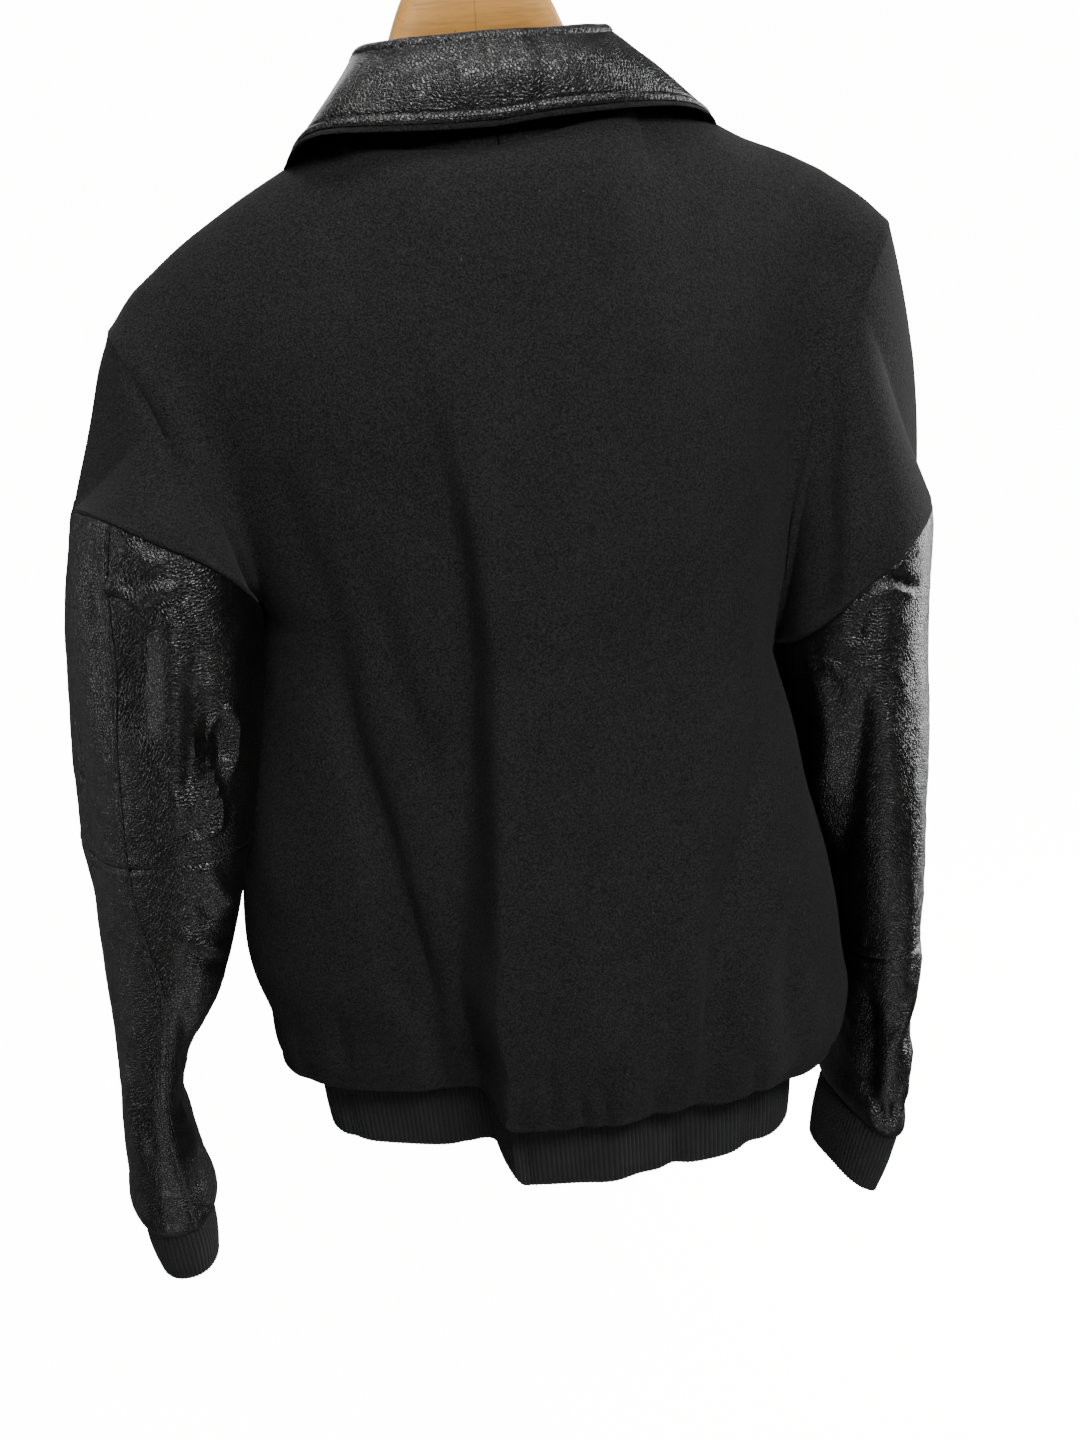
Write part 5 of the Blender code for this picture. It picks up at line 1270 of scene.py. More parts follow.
class JacketStage(bpy.types.PropertyGroup):
    """Floor, lights and camera."""
    lens: bpy.props.FloatProperty(name="Lens", description="Focal length in millimetres", default=52.5,
                                  min=10)
    azimuth: bpy.props.FloatProperty(name="Azimuth", description="Camera direction in degrees",
                                     default=168.0)
    elevation: bpy.props.FloatProperty(name="Elevation", description="Camera height in degrees", default=20.0)
    roll: bpy.props.FloatProperty(name="Roll", description="Camera roll in degrees", default=4.5)
    distance: length("Distance", 1.3426, "Distance from the camera to its target")
    target: bpy.props.FloatVectorProperty(name="Target", description="Point that the camera looks at",
                                          default=(-0.0011, 0.03, -0.5236), subtype="TRANSLATION", size=3)
    floor: colour("Floor", "#f4f4f2", "Colour of the floor")
    floor_glow: bpy.props.FloatProperty(name="Floor glow", description="Light that the backdrop gives off",
                                        default=16.0, min=0.0)
    floor_level: length("Floor level", -1.30, "Height of the floor")


GROUPS = {"wool": JacketWool, "leather": JacketLeather, "knit": JacketKnit, "thread": JacketThread,
          "hanger": JacketHanger, "stage": JacketStage}


def settings(key):
    return getattr(bpy.context.scene, "jacket_" + key)


# ================================================================ materials

def node(tree, kind, links=(), **values):
    """Add a node. links pairs an input's name or number with an output socket or a plain value."""
    made = tree.nodes.new(kind)
    for key, value in values.items():
        setattr(made, key, value)
    for socket, source in links:
        if isinstance(source, bpy.types.NodeSocket):
            tree.links.new(source, made.inputs[socket])
        else:
            made.inputs[socket].default_value = source
    return made


def new_material(name):
    """Material with a Principled shader; returns it, its tree and the shader."""
    made = bpy.data.materials.new(name)
    made.use_nodes = True
    tree = made.node_tree
    return made, tree, tree.nodes["Principled BSDF"]


def rgba(value):
    return (*value, 1.0)


def shade(value, share):
    return tuple(v * share for v in value)


def plain(shader, values):
    for name, value in values.items():
        shader.inputs[name].default_value = value


def noise(tree, where, scale, detail=3.0, rough=0.5):
    return node(tree, "ShaderNodeTexNoise", [("Vector", where), ("Scale", scale), ("Detail", detail),
                                             ("Roughness", rough)]).outputs["Fac"]


def ramp(tree, source, low, high, start=0.0, end=1.0):
    """Map a value from low..high to start..end, clamped."""
    return node(tree, "ShaderNodeMapRange", [("Value", source), ("From Min", low), ("From Max", high),
                                             ("To Min", start), ("To Max", end)]).outputs["Result"]


def mix(tree, factor, first, second):
    made = node(tree, "ShaderNodeMix", data_type="RGBA")
    for socket, source in ((made.inputs[0], factor), (made.inputs[6], first), (made.inputs[7], second)):
        if isinstance(source, bpy.types.NodeSocket):
            tree.links.new(source, socket)
        else:
            socket.default_value = source if socket.type == "VALUE" else rgba(source)
    return made.outputs[2]


def maths(tree, operation, *sources):
    return node(tree, "ShaderNodeMath", list(enumerate(sources)), operation=operation).outputs[0]


def times(tree, first, second):
    return maths(tree, "MULTIPLY", first, second)


def bump(tree, height, distance, strength):
    return node(tree, "ShaderNodeBump", [("Height", height), ("Distance", distance),
                                         ("Strength", strength)]).outputs["Normal"]


def melton_wool(name="black_melton_wool"):
    """Milled melton: a dull felted nap about 1 mm deep that scatters light at its edges."""
    wool = settings("wool")
    made, tree, shader = new_material(name)
    place = node(tree, "ShaderNodeTexCoord").outputs["Object"]
    fibre = noise(tree, place, 820.0, 3.0, 0.70)        # matted fibres, about 1 mm apart
    tuft = noise(tree, place, 260.0, 2.0, 0.6)          # tufts of nap, about 4 mm apart
    cloud = noise(tree, place, 22.0, 3.0, 0.55)         # nap brushed one way or another
    tone = maths(tree, "ADD", fibre, times(tree, cloud, 0.10))
    nap = mix(tree, ramp(tree, tone, 0.42, 0.70), shade(wool.nap, 0.45), shade(wool.nap, 2.10))
    spots = node(tree, "ShaderNodeTexVoronoi", [("Vector", place), ("Scale", 95.0)])
    lint = times(tree, maths(tree, "LESS_THAN", spots.outputs["Distance"], 0.045),
                 maths(tree, "GREATER_THAN", noise(tree, place, 60.0, 1.0), 0.60))
    base = mix(tree, times(tree, lint, 0.75), nap, wool.lint)
    tree.links.new(base, shader.inputs["Base Color"])
    plain(shader, {"Roughness": 0.96, "Specular IOR Level": 0.12, "Sheen Weight": 0.06,
                   "Sheen Roughness": 0.45, "Sheen Tint": rgba(linear("#8d8c8a"))})
    height = maths(tree, "ADD", fibre, times(tree, tuft, 0.6))
    tree.links.new(bump(tree, height, 0.0011, 0.75), shader.inputs["Normal"])
    return made


def pebbled_leather(name="black_pebbled_cowhide"):
    """Full-grain cowhide: pebbles of 1 to 2 mm with soft valleys, semi-gloss, rubbed on the tops."""
    hide = settings("leather")
    made, tree, shader = new_material(name)
    place = node(tree, "ShaderNodeTexCoord").outputs["Object"]
    drift = node(tree, "ShaderNodeTexNoise", [("Vector", place), ("Scale", 120.0), ("Detail", 2.0)])
    moved = node(tree, "ShaderNodeVectorMath", [(0, drift.outputs["Color"]), (1, (0.0016, 0.0016, 0.0016))],
                 operation="MULTIPLY").outputs[0]
    warped = node(tree, "ShaderNodeVectorMath", [(0, place), (1, moved)], operation="ADD").outputs[0]
    pebble = node(tree, "ShaderNodeTexVoronoi", [("Vector", warped), ("Scale", 520.0)],
                  feature="DISTANCE_TO_EDGE").outputs["Distance"]
    valley = ramp(tree, pebble, 0.0, 0.22)
    fine = noise(tree, place, 1500.0, 3.0, 0.6)
    broad = noise(tree, place, 30.0, 4.0, 0.6)
    creasing = noise(tree, warped, 260.0, 3.0, 0.6)
    tint = mix(tree, times(tree, ramp(tree, broad, 0.45, 0.75), valley), hide.hide, hide.rubbed)
    tree.links.new(tint, shader.inputs["Base Color"])
    rough = maths(tree, "ADD", ramp(tree, broad, 0.3, 0.75, 0.30, 0.38), times(tree, fine, 0.05))
    tree.links.new(rough, shader.inputs["Roughness"])
    plain(shader, {"Specular IOR Level": 0.45})
    height = maths(tree, "ADD", times(tree, valley, 0.48), times(tree, creasing, 0.55))
    height = maths(tree, "ADD", height, times(tree, fine, 0.05))
    tree.links.new(bump(tree, height, 0.0006, 0.8), shader.inputs["Normal"])
    return made


def rib_yarn(name="black_acrylic_rib_knit"):
    """Acrylic rib: fuzzy yarn whose stitches lean into the middle of each rib as small Vs, with painted shade
    in the valleys between the ribs.
    """
    knit = settings("knit")
    made, tree, shader = new_material(name)
    place = node(tree, "ShaderNodeTexCoord").outputs["Object"]
    wale = node(tree, "ShaderNodeAttribute", attribute_name="wale").outputs["Fac"]
    course = node(tree, "ShaderNodeAttribute", attribute_name="course").outputs["Fac"]
    slanted = maths(tree, "ADD", course, times(tree, wale, 1.1))
    loops = maths(tree, "SINE", times(tree, slanted, 2 * math.pi / 2.1))    # 2.1 mm from loop to loop
    fuzz = noise(tree, place, 1300.0, 3.0, 0.65)
    patch = noise(tree, place, 60.0, 2.0)
    tone = maths(tree, "ADD", times(tree, fuzz, 0.6), times(tree, patch, 0.4))
    lit = mix(tree, ramp(tree, tone, 0.35, 0.7), shade(knit.yarn, 0.6), shade(knit.yarn, 1.5))
    # painted shade: in the valleys between the ribs (wale near 1) the yarn is darkened from its own tone to
    # 0.35 of its colour
    valley = mix(tree, ramp(tree, wale, 0.45, 1.0), lit, shade(knit.yarn, 0.35))
    tree.links.new(valley, shader.inputs["Base Color"])
    plain(shader, {"Roughness": 0.9, "Specular IOR Level": 0.2, "Sheen Weight": 0.2,
                   "Sheen Roughness": 0.5, "Sheen Tint": rgba(linear("#86868a"))})
    height = maths(tree, "ADD", times(tree, loops, 0.35), fuzz)
    tree.links.new(bump(tree, height, 0.0005, 0.8), shader.inputs["Normal"])
    return made


def polyester_thread(name="black_polyester_thread"):
    """Bonded polyester thread: tight twist, slight gloss."""
    thread = settings("thread")
    made, tree, shader = new_material(name)
    place = node(tree, "ShaderNodeTexCoord").outputs["Object"]
    twist = noise(tree, place, 2400.0, 2.0)
    tint = mix(tree, twist, shade(thread.tint, 0.7), shade(thread.tint, 1.5))
    tree.links.new(tint, shader.inputs["Base Color"])
    plain(shader, {"Roughness": 0.5})
    tree.links.new(bump(tree, twist, 0.0001, 0.5), shader.inputs["Normal"])
    return made


def varnished_wood(name="varnished_beech"):
    """Beech under amber varnish: fine grain along the shoulders, short dark flecks, a glue line."""
    hanger = settings("hanger")
    made, tree, shader = new_material(name)
    place = node(tree, "ShaderNodeTexCoord").outputs["Object"]
    along = node(tree, "ShaderNodeMapping", [("Vector", place), ("Scale", (5.0, 60.0, 60.0))]).outputs[0]
    grain = noise(tree, along, 6.0, 5.0, 0.6)
    short = node(tree, "ShaderNodeMapping", [("Vector", place), ("Scale", (60.0, 700.0, 700.0))]).outputs[0]
    pores = noise(tree, short, 1.0, 2.0, 0.5)
    blotch = noise(tree, place, 28.0, 3.0)
    wood = mix(tree, ramp(tree, grain, 0.42, 0.72), hanger.wood, shade(hanger.wood, 0.72))
    wood = mix(tree, times(tree, ramp(tree, pores, 0.56, 0.70), 0.35), wood, hanger.grain)
    wood = mix(tree, ramp(tree, blotch, 0.50, 0.75, 0.0, 0.25), wood, hanger.grain)
    split = node(tree, "ShaderNodeSeparateXYZ", [("Vector", place)])
    middle = maths(tree, "LESS_THAN", maths(tree, "ABSOLUTE", split.outputs["X"]), 0.00022)
    flecks = node(tree, "ShaderNodeTexVoronoi", [("Vector", place), ("Scale", 75.0)]).outputs["Distance"]
    fleck = maths(tree, "LESS_THAN", flecks, 0.05)
    marks = maths(tree, "MAXIMUM", times(tree, middle, 0.55), times(tree, fleck, 0.6))
    wood = mix(tree, marks, wood, linear("#3d2413"))
    tree.links.new(wood, shader.inputs["Base Color"])
    tree.links.new(ramp(tree, blotch, 0.3, 0.7, 0.32, 0.48), shader.inputs["Roughness"])
    plain(shader, {"Coat Weight": 0.35, "Coat Roughness": 0.22})
    tree.links.new(bump(tree, maths(tree, "ADD", grain, pores), 0.0002, 0.35), shader.inputs["Normal"])
    return made


def plated_metal(name, tint, rough, metallic):
    """Drawn or pressed metal: even tone with fine scuffs in its gloss."""
    made, tree, shader = new_material(name)
    place = node(tree, "ShaderNodeTexCoord").outputs["Object"]
    scuff = noise(tree, place, 500.0, 3.0, 0.6)
    tree.links.new(mix(tree, scuff, shade(tint, 0.8), tint), shader.inputs["Base Color"])
    tree.links.new(ramp(tree, scuff, 0.3, 0.7, rough, rough + 0.14), shader.inputs["Roughness"])
    plain(shader, {"Metallic": metallic})
    tree.links.new(bump(tree, scuff, 0.0001, 0.2), shader.inputs["Normal"])
    return made


MATERIALS = {}


def finish(key):
    """The one material of each finish, made when first asked for."""
    makers = {
        "wool": melton_wool, "leather": pebbled_leather, "knit": rib_yarn, "thread": polyester_thread,
        "wood": varnished_wood,
        "enamel": lambda: plated_metal("black_enamelled_brass", settings("hanger").snap, 0.28, 0.6),
        "steel": lambda: plated_metal("polished_steel_wire", settings("hanger").steel, 0.20, 1.0),
    }
    if key not in MATERIALS:
        MATERIALS[key] = makers[key]()
    return MATERIALS[key]


# ================================================================ operators

BUILT = {}


def shell():
    """The one net of sewn panels, worked out when first asked for."""
    if "shell" not in BUILT:
        BUILT["shell"] = Shell(settings("wool"), settings("leather"))
    return BUILT["shell"]


def need(condition, message):
    if not condition:
        raise RuntimeError(message)


class JACKET_OT_wool(bpy.types.Operator):
    """Make the wool back and fronts with their caps over the arms"""
    bl_idname = "jacket.wool"
    bl_label = "Wool body"

    def execute(self, context):
        net = shell()
        back = net.piece("back", "wool_back", WOOL, finish("wool"), "wool", ["back"])
        left = net.piece("front_left", "wool_front_left", WOOL, finish("wool"), "wool", ["front_left"])
        right = net.piece("front_right", "wool_front_right", WOOL, finish("wool"), "wool", ["front_right"])
        need(len(back.data.polygons) > 1000, "the wool back came out empty")
        return {"FINISHED"}


class JACKET_OT_sleeves(bpy.types.Operator):
    """Make the leather sleeves, each in an upper and a lower part, with a strip over the long seam"""
    bl_idname = "jacket.sleeves"
    bl_label = "Leather sleeves"

    def execute(self, context):
        net = shell()
        leather, thread = finish("leather"), settings("thread")
        for side in ARM_ROWS:
            for part in ("upper", "lower"):
                key = "sleeve_%s_%s" % (side, part)
                net.piece(key, "leather_" + key, LEATHER, leather, "leather", [key])
            strip, lines = self.strip(net, side, leather)
            elbow = self.elbow_lines(net, side)
            stitches = stitching("topstitching_sleeve_" + side, lines + elbow, finish("thread"), thread)
            need(len(strip.data.polygons) > 100, "the seam strip came out empty")
            upper, lower = SLEEVE_CUTS[side]
        return {"FINISHED"}

    def whole(self, net, side):
        """The sleeve's grid from its upper and lower parts."""
        parts = [net.grid("sleeve_%s_%s" % (side, part)) for part in ("upper", "lower")]
        return [np.concatenate([parts[0][k], parts[1][k][1:]]) for k in (0, 1)]

    def strip(self, net, side, leather):
        """Strip laid on the sleeve along its slowly turning long seam, and its two stitch lines."""
        places, normals = self.whole(net, side)
        rows = np.linspace(1.5, SLEEVE_RINGS - 1.0, 240)[:, None]
        shares, turns = np.array(STRIP_TURNS[side]).T
        middle = (180 - flow(shares, turns, rows / SLEEVE_RINGS)) / 180 * SEAM_STEPS
        middle = middle % (2 * SEAM_STEPS)
        around = np.linalg.norm(np.diff(places, axis=1), axis=-1)
        pace = around[np.round(rows).astype(int), middle.astype(int)]
        across = np.linspace(-0.5, 0.5, 17)[None, :]
        place, normal = on_grid(places, normals, middle + across * STRIP_WIDTH / pace, rows)
        stitched = np.exp(-((np.abs(across) - 0.32) / 0.07) ** 2)
        crown = (0.75 * (1 - (2 * across) ** 6) + 0.30 - 0.45 * stitched) * MM
        ids = np.arange(place.shape[0] * place.shape[1]).reshape(place.shape[:2])
        flat = (place + normal * crown[..., None]).reshape(-1, 3)
        cells = split_quads(ids)
        flip = (vertex_normals(flat, cells) * normal.reshape(-1, 3)).sum() < 0
        cells = cells[:, ::-1] if flip else cells
        points, faces = closed_sheet(flat, vertex_normals(flat, cells), cells, STRIP_THICK)
        made = link("leather_seam_strip_" + side, points, faces, leather, ["seam_strip_" + side])
        lines = []
        for at in (3, 13):
            lines.append((flat.reshape(place.shape)[:, at] + normal[:, at] * 0.1 * MM, normal[:, at]))
        return made, lines

    def elbow_lines(self, net, side):
        """Stitch line on the upper part, just above the seam at the elbow."""
        places, normals = net.grid("sleeve_%s_upper" % side)
        return [(places[-2] + normals[-2] * 0.1 * MM, normals[-2])]


class JACKET_OT_knit(bpy.types.Operator):
    """Knit the waistband and the two cuffs"""
    bl_idname = "jacket.knit"
    bl_label = "Rib knit"

    def execute(self, context):
        knit = settings("knit")
        fine = np.linspace(-1, 1, 900)
        back = body(fine, 0.0, 1)
        front = body(fine[::-1], 0.0, -1)
        path = np.concatenate([back[:-1], front[:-1]])
        girth = even_ring(path, 2000)[1]
        top = even_ring(path, RIB_SIDES * int(round(girth / knit.rib_pitch)))[0]
        top = top + ring_normals(top, 14) * BAND_OUT - np.array([0, 0, 1.2 * SEAM])

        def band_ring(h):
            draw = 1 - (1 - BAND_DRAW) * h
            return top * np.array([draw, draw, 1.0]) - np.array([0, 0, BAND_HEIGHT * h])

        band = rib_tube("rib_waistband", band_ring, BAND_HEIGHT, knit, finish("knit"), ["waistband"],
                        0.0012, 21)
        need(len(band.data.polygons) > 1000, "the waistband came out empty")
        for side in ARM_ROWS:
            self.cuff(side, knit)
        return {"FINISHED"}

    def cuff(self, side, knit):
        ring = sleeve(side, np.linspace(0, 2 * math.pi, 721)[:-1], 1.0)
        girth = even_ring(ring, 1000)[1]
        ring = even_ring(ring, RIB_SIDES * int(round(girth / knit.rib_pitch)))[0]
        centre = ring.mean(axis=0)
        tuck = CUFF_TUCK / np.linalg.norm(ring - centre, axis=1).mean()
        spread = (ring - centre) * np.array([1 - tuck, 1 - tuck, 1.0])
        lean_x, lean_y = CUFF_LEAN[side]

        def cuff_ring(h):
            move = np.array([lean_x, lean_y, -CUFF_LENGTH]) * h - np.array([0, 0, 1.2 * SEAM])
            return centre + spread * (1 - (1 - CUFF_TAPER) * h) + move

        made = rib_tube("rib_cuff_" + side, cuff_ring, CUFF_LENGTH, knit, finish("knit"), ["cuff_" + side],
                        0.0014, 23)


class JACKET_OT_collar(bpy.types.Operator):
    """Make the leather collar, its topstitching and the two wool halves of the under collar"""
    bl_idname = "jacket.collar"
    bl_label = "Collar"

    def execute(self, context):
        leather = settings("leather")
        turn = collar_turns()
        base = collar_grid(turn)
        normals = grid_normals(base)
        if normals[-1, len(turn) // 2, 1] < 0:
            normals = -normals
        flat, up = base.reshape(-1, 3), normals.reshape(-1, 3)
        from_edge = np.cumsum(np.linalg.norm(np.diff(base[::-1], axis=0), axis=-1), axis=0)[::-1]
        from_edge = np.concatenate([from_edge, np.zeros((1, base.shape[1]))])
        shape = base.shape[:2]
        lift = creases(flat, up, COLLAR_CREASES, 1).reshape(shape)
        wrinkled = flat * np.array([1.0, 1.0, 0.4])
        lift += leather.wrinkles * 0.35 * lumps(wrinkled, 0.012, 31).reshape(shape)
        lift += leather.wrinkles * 0.5 * lumps(wrinkled, 0.030, 32).reshape(shape)
        lift *= ease(from_edge, 0.004, 0.012)
        groove_at = leather.edge_stitch
        lift -= 0.75 * MM * np.exp(-((from_edge - groove_at) / (1.2 * MM)) ** 2)
        lift += 0.55 * MM * np.exp(-((from_edge - 0.45 * groove_at) / (1.9 * MM)) ** 2)
        lift -= 0.8 * MM * np.exp(-(from_edge / (0.8 * MM)) ** 2)
        grid = base + normals * lift[..., None]
        ids = np.arange(grid.shape[0] * grid.shape[1]).reshape(shape)
        cells = split_quads(ids)
        flip = (vertex_normals(grid.reshape(-1, 3), cells) * up).sum() < 0
        cells = cells[:, ::-1] if flip else cells
        points = grid.reshape(-1, 3)
        walls, faces = closed_sheet(points, vertex_normals(points, cells), cells, LEATHER)
        made = link("leather_collar", walls, faces, finish("leather"), ["collar"])
        line, over = self.stitch_line(grid, normals, from_edge, groove_at)
        stitches = stitching("topstitching_collar", [(line, over)], finish("thread"), settings("thread"))
        self.under(base, normals, turn, flip)
        return {"FINISHED"}

    def stitch_line(self, grid, normals, from_edge, distance):
        """The collar's places at one distance from its edge."""
        rows = from_edge[-len(FALL_SHARES):][::-1]
        at = np.array([np.interp(distance, rows[:, k], np.arange(len(rows))) for k in range(rows.shape[1])])
        columns = np.arange(rows.shape[1]).astype(float)
        place, normal = on_grid(grid[::-1], normals[::-1], columns, at)
        return place + normal * 0.1 * MM, normal

    def under(self, base, normals, turn, flip):
        """Wool halves under the leather; they pass its edge by a few millimetres as a soft roll."""
        downward = unit(base[-1] - base[-4])
        more = np.stack([base[-1] + downward * step for step in np.linspace(0.0008, 0.0040, 6)])
        below = unit(base[0] - base[3])
        tuck = np.stack([base[0] + below * step for step in (0.0060, 0.0030)])
        grid = np.concatenate([tuck, base, more])
        over = np.concatenate([normals[:1], normals[:1], normals, np.repeat(normals[-1:], len(more), axis=0)])
        depth = np.full(len(grid), LEATHER + SEAM)
        depth[-len(more):] = np.array([1.25, 0.95, 0.75, 0.75, 0.95, 1.35]) * MM
        grid = grid - over * depth[:, None, None]
        centre = len(turn) // 2
        for side, columns in (("right", slice(0, centre + 1)), ("left", slice(centre, None))):
            part, part_over = grid[:, columns].copy(), over[:, columns]
            seam = part[:, -1 if side == "right" else 0]
            gap = np.linalg.norm(part - seam[:, None, :], axis=-1)
            part -= part_over * (0.5 * MM * np.exp(-(gap / (1.2 * MM)) ** 2))[..., None]
            points = part.reshape(-1, 3)
            cells = split_quads(np.arange(len(points)).reshape(part.shape[:2]))
            cells = cells[:, ::-1] if flip else cells
            walls, faces = closed_sheet(points, vertex_normals(points, cells), cells, UNDER_WOOL, SEAM / 2)
            made = link("wool_under_collar_" + side, walls, faces, finish("wool"),
                        ["under_collar_" + side])


class JACKET_OT_snaps(bpy.types.Operator):
    """Press the snap caps onto the left front"""
    bl_idname = "jacket.snaps"
    bl_label = "Snaps"

    def execute(self, context):
        places, normals = shell().grid("body_front_left")
        zero = float(np.argmin(np.abs(front_columns("left"))))
        for index in range(SNAP_COUNT):
            rise = SNAP_RISES[0] + (SNAP_RISES[1] - SNAP_RISES[0]) * index / (SNAP_COUNT - 1)
            row = float(np.interp(rise, rises(), np.arange(len(rises()))))
            place, normal = on_grid(places, normals, np.array(zero), np.array(row))
            self.cap(index, place, normal)
        return {"FINISHED"}

    def cap(self, index, place, normal):
        """Domed cap turned about its own axis: a rolled rim, a shallow ring and a low dome."""
        side = unit(np.cross(normal, (0.0, 0.0, 1.0)))
        upward = np.cross(side, normal)
        profile = np.array([(7.2, -0.3), (7.5, 0.3), (7.45, 1.0), (7.1, 1.5), (6.5, 1.65), (5.9, 1.45),
                            (5.5, 1.35), (4.6, 1.9), (3.2, 2.35), (1.6, 2.58), (0.4, 2.62)]) * MM
        sides = 40
        angles = 2 * math.pi * np.arange(sides) / sides
        ring = np.cos(angles)[:, None] * side + np.sin(angles)[:, None] * upward
        points = place + profile[:, None, :1] * ring + profile[:, None, 1:] * normal
        ends = [place - normal * 0.3 * MM, place + normal * 2.63 * MM]
        points = np.concatenate([points.reshape(-1, 3), ends])
        ids = np.arange(len(profile) * sides).reshape(len(profile), sides)
        cells = split_quads(np.concatenate([ids, ids[:, :1]], axis=1))
        k, after = np.arange(sides), (np.arange(sides) + 1) % sides
        foot, top = len(points) - 2, len(points) - 1
        caps = [np.stack([np.full(sides, foot), k, after], -1),
                np.stack([np.full(sides, top), ids[-1][after], ids[-1][k]], -1)]
        faces = np.concatenate([cells] + caps)
        outward = vertex_normals(points, faces)[top] @ normal
        faces = faces if outward > 0 else faces[:, ::-1]
        return link("snap_cap_%d" % (index + 1), points, faces, finish("enamel"),
                    ["snap_%d" % (index + 1)])


class JACKET_OT_hanger(bpy.types.Operator):
    """Turn the wooden hanger and bend its hook"""
    bl_idname = "jacket.hanger"
    bl_label = "Hanger"

    def execute(self, context):
        need("hanger" in frame["nodes"], "the frame has no hanger")
        side = HANGER_ROWS[-1][0]
        share = np.linspace(-1, 1, 241)
        outs = side * np.sin(share * math.pi / 2 * 0.9) / math.sin(math.pi / 2 * 0.9)
        top, forward, half, tall = read(HANGER_ROWS, HANGER_COLUMNS, "out", np.abs(outs),
                                        "top", "forward", "half_thick", "tall")
        angles = 2 * math.pi * np.arange(48) / 48
        c, s = power_curve(angles, HANGER_POWER)
        middle = tilt(outs, top - tall / 2)
        points = stack(outs[:, None] + 0 * c, forward[:, None] + half[:, None] * c,
                       middle[:, None] + tall[:, None] / 2 * s)
        self.tube("wooden_hanger", points, finish("wood"), "hanger_wood", "hanger")
        self.hook()
        return {"FINISHED"}

    def hook(self):
        """Wire hook: a shank out of the hanger's top, a short bend, then the loop over the rail."""
        radius = HOOK_INNER + HOOK_WIRE
        base = HANGER_ROWS[0][1]
        start = math.radians(-62)
        first = np.array([radius * math.cos(start), -HOOK_INNER + radius * math.sin(start)])
        low = np.array([0.0, base + 0.006])
        mid = np.array([0.0, -HOOK_INNER - radius + HOOK_SHANK - 0.004])
        t = np.linspace(0, 1, 26)[1:-1, None]
        bend = (1 - t) ** 2 * low + 2 * t * (1 - t) * mid + t * t * first
        angle = np.linspace(start, math.radians(205), 90)
        loop = np.stack([radius * np.cos(angle), -HOOK_INNER + radius * np.sin(angle)], -1)
        route = np.concatenate([[[0.0, base + HOOK_SEAT]], [low], bend, loop])
        line = np.stack([route[:, 0], 0 * route[:, 0], route[:, 1]], -1)
        along = unit(np.gradient(line, axis=0))
        across = np.array([0.0, 1.0, 0.0])
        up = np.cross(along, across)
        angles = 2 * math.pi * np.arange(20) / 20
        rings = (line[:, None, :] + HOOK_WIRE * (np.cos(angles)[None, :, None] * across
                                                 + np.sin(angles)[None, :, None] * up[:, None, :]))
        self.tube("steel_hook", rings, finish("steel"), "hook_steel", "hanger_hook")

    def tube(self, name, rings, material, slot, node_name):
        """Closed tube through rings of points, with a fan of triangles at each end."""
        count, sides = rings.shape[:2]
        ends = np.stack([rings[0].mean(axis=0), rings[-1].mean(axis=0)])
        points = np.concatenate([rings.reshape(-1, 3), ends])
        ids = np.arange(count * sides).reshape(count, sides)
        cells = split_quads(np.concatenate([ids, ids[:, :1]], axis=1))
        k, after = np.arange(sides), (np.arange(sides) + 1) % sides
        first = np.stack([np.full(sides, count * sides), ids[0][k], ids[0][after]], -1)
        last = np.stack([np.full(sides, count * sides + 1), ids[-1][after], ids[-1][k]], -1)
        faces = np.concatenate([cells, first, last])
        a, b, c = (points[faces[:, n]] for n in range(3))
        volume = (np.cross(a, b) * c).sum()
        faces = faces if volume > 0 else faces[:, ::-1]
        return link(name, points, faces, material, [node_name], 60.0)


# Each light: name, place, target, size in metres, power in watts.
LIGHT_ROWS = (
    ("key_softbox", (-0.5, 2.2, 1.6), (0, 0.05, -0.45), (1.1, 0.9), 116.0),
    ("ceiling_softbox", (0.2, 0.3, 2.0), (0, 0.05, -0.2), (1.2, 0.6), 46.0),
    ("left_rim", (1.8, -0.35, -0.3), (0.2, 0.0, -0.5), (0.4, 1.6), 11.0),
    ("right_rim", (-1.8, -0.5, -0.4), (-0.2, 0.0, -0.5), (0.5, 1.6), 52.0),
    ("floor_bounce", (0.2, 1.2, -2.2), (0, 0.05, -0.6), (2.0, 1.0), 20.0),
    ("front_softbox", (0.0, -2.2, 0.7), (0, 0.0, -0.5), (2.0, 1.6), 30.0),
)
ROOM_LIGHT = 0.08           # strength of the even light all round


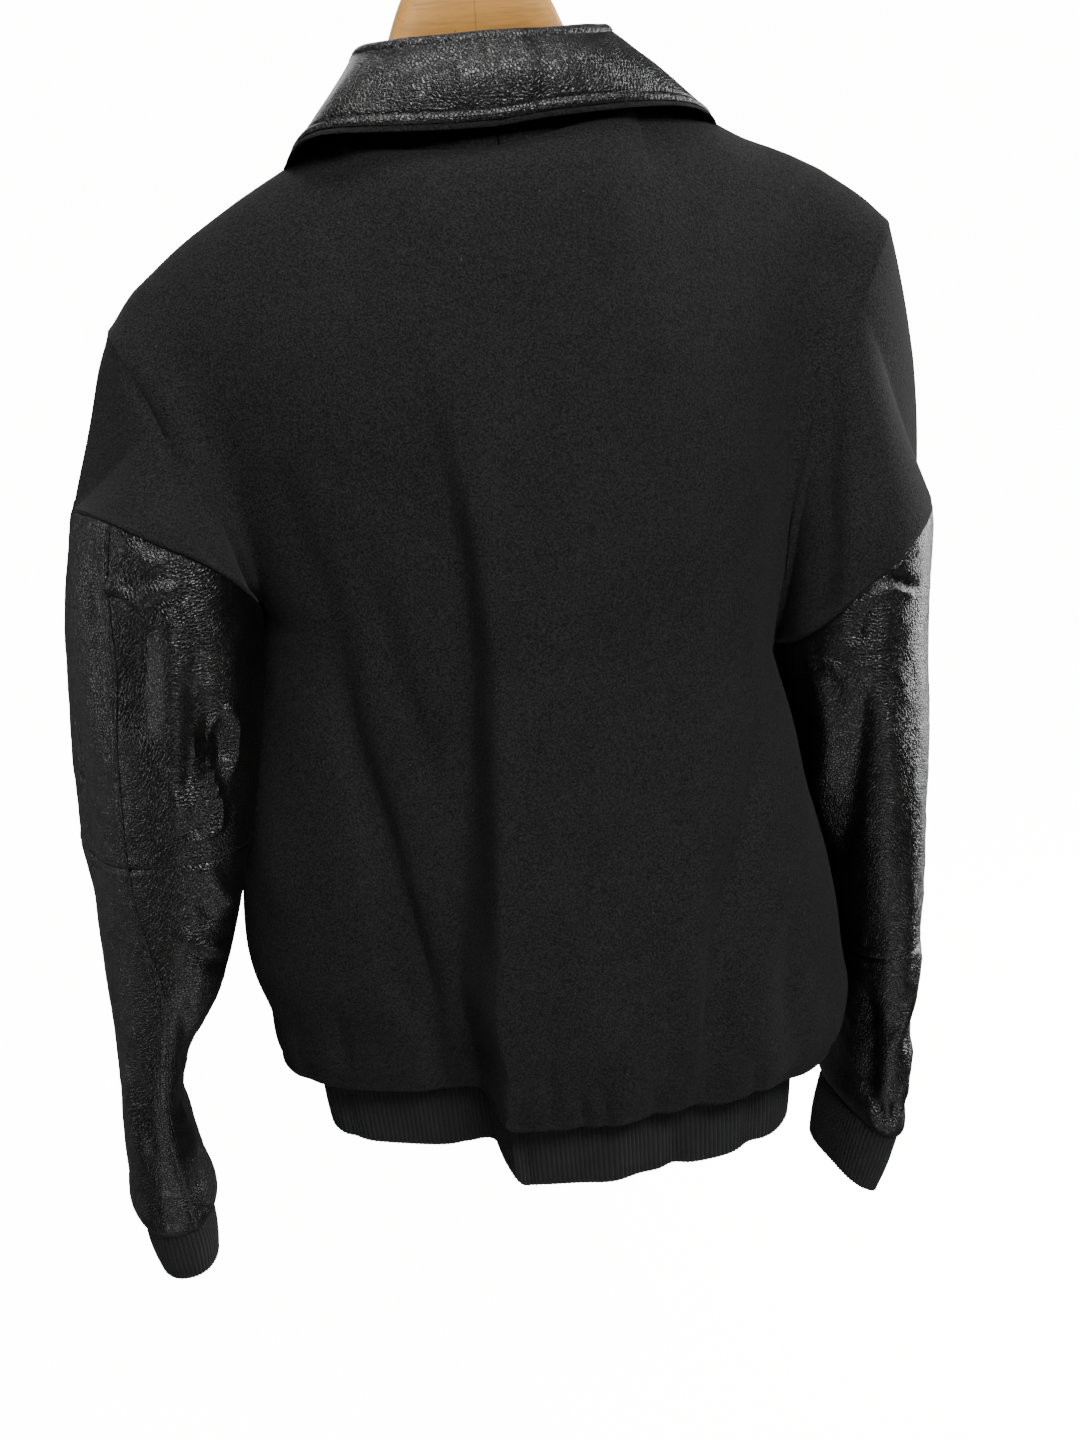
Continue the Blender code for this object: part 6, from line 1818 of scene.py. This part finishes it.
class JACKET_OT_stage(bpy.types.Operator):
    """Set the pale floor, the soft lights and the camera"""
    bl_idname = "jacket.stage"
    bl_label = "Stage"

    def execute(self, context):
        stage = settings("stage")
        self.floor(stage)
        for row in LIGHT_ROWS:
            self.light(*row)
        world = bpy.data.worlds.new("studio")
        world.use_nodes = True
        plain(world.node_tree.nodes["Background"],
              {"Color": rgba(linear("#f7f7f7")), "Strength": ROOM_LIGHT})
        context.scene.world = world
        self.camera(context, stage)
        return {"FINISHED"}

    def floor(self, stage):
        """Plain floor that curves up into a plain wall on all sides."""
        flat, curve = 6.0, 3.0          # radius of the level part and of the curve
        bend = np.linspace(0.1, math.pi / 2, 16)
        run = np.concatenate([np.linspace(0, flat, 25), flat + curve * np.sin(bend), [flat + curve]])
        rise = np.concatenate([np.zeros(25), curve - curve * np.cos(bend), [flat + curve]])
        turns = np.linspace(0, 2 * math.pi, 65)
        points = stack(run[:, None] * np.cos(turns), run[:, None] * np.sin(turns),
                       stage.floor_level + rise[:, None] + 0 * turns)
        mesh = bpy.data.meshes.new("floor")
        places, ids = joined([points])
        mesh.from_pydata(places.tolist(), [], split_quads(ids[0], True).tolist())
        mesh.shade_smooth()
        made = bpy.data.objects.new("floor", mesh)
        bpy.context.scene.collection.objects.link(made)
        paint, _, shader = new_material("pale_matt_paint")
        plain(shader, {"Base Color": rgba(stage.floor), "Roughness": 0.9,
                       "Emission Color": rgba(stage.floor), "Emission Strength": stage.floor_glow})
        mesh.materials.append(paint)
        made.visible_diffuse = made.visible_glossy = made.visible_shadow = False

    def light(self, name, place, target, size, power):
        lamp = bpy.data.lights.new(name, "AREA")
        lamp.shape = "RECTANGLE"
        lamp.size, lamp.size_y = size
        lamp.energy = power
        made = bpy.data.objects.new(name, lamp)
        bpy.context.scene.collection.objects.link(made)
        made.matrix_world = self.looking(place, target, 0.0)

    def looking(self, place, target, roll):
        """Matrix of an object at place that looks at target, rolled by an angle in degrees."""
        back = unit(np.array(place, float) - np.array(target, float))
        right = unit(np.cross(-back, (0.0, 0.0, 1.0)))
        up = np.cross(right, -back)
        c, s = math.cos(math.radians(roll)), math.sin(math.radians(roll))
        columns = [right * c - up * s, right * s + up * c, back, np.array(place, float)]
        return Matrix([[columns[k][row] for k in range(4)] for row in range(3)] + [[0, 0, 0, 1]])

    def camera(self, context, stage):
        a, e = math.radians(stage.azimuth), math.radians(stage.elevation)
        back = np.array([math.sin(a) * math.cos(e), -math.cos(a) * math.cos(e), math.sin(e)])
        target = np.array(stage.target)
        camera = bpy.data.cameras.new("camera")
        camera.lens = stage.lens
        camera.sensor_width = 36.0
        camera.clip_start, camera.clip_end = 0.05, 60.0
        made = bpy.data.objects.new("camera", camera)
        context.scene.collection.objects.link(made)
        made.matrix_world = self.looking(target + back * stage.distance, target, stage.roll)
        context.scene.camera = made


OPERATORS = (JACKET_OT_wool, JACKET_OT_sleeves, JACKET_OT_knit, JACKET_OT_collar, JACKET_OT_snaps,
             JACKET_OT_hanger, JACKET_OT_stage)


class JACKET_PT_panel(bpy.types.Panel):
    """List of the jacket's operators and settings"""
    bl_idname = "JACKET_PT_panel"
    bl_label = "Varsity Jacket"
    bl_space_type = "VIEW_3D"
    bl_region_type = "UI"
    bl_category = "Jacket"

    def draw(self, context):
        for operator in OPERATORS:
            self.layout.operator(operator.bl_idname)
        for key, group in GROUPS.items():
            box = self.layout.box()
            box.label(text=group.__name__)
            for name in group.__annotations__:
                box.prop(settings(key), name)


def register():
    for group in GROUPS.values():
        bpy.utils.register_class(group)
    for key, group in GROUPS.items():
        setattr(bpy.types.Scene, "jacket_" + key, bpy.props.PointerProperty(type=group))
    for operator in OPERATORS + (JACKET_PT_panel,):
        bpy.utils.register_class(operator)


def unregister():
    for operator in reversed(OPERATORS + (JACKET_PT_panel,)):
        bpy.utils.unregister_class(operator)
    for key in GROUPS:
        delattr(bpy.types.Scene, "jacket_" + key)
    for group in reversed(list(GROUPS.values())):
        bpy.utils.unregister_class(group)


def main():
    register()
    for operator in OPERATORS:
        area, name = operator.bl_idname.split(".")
        getattr(getattr(bpy.ops, area), name)()


if __name__ == "__main__":
    main()
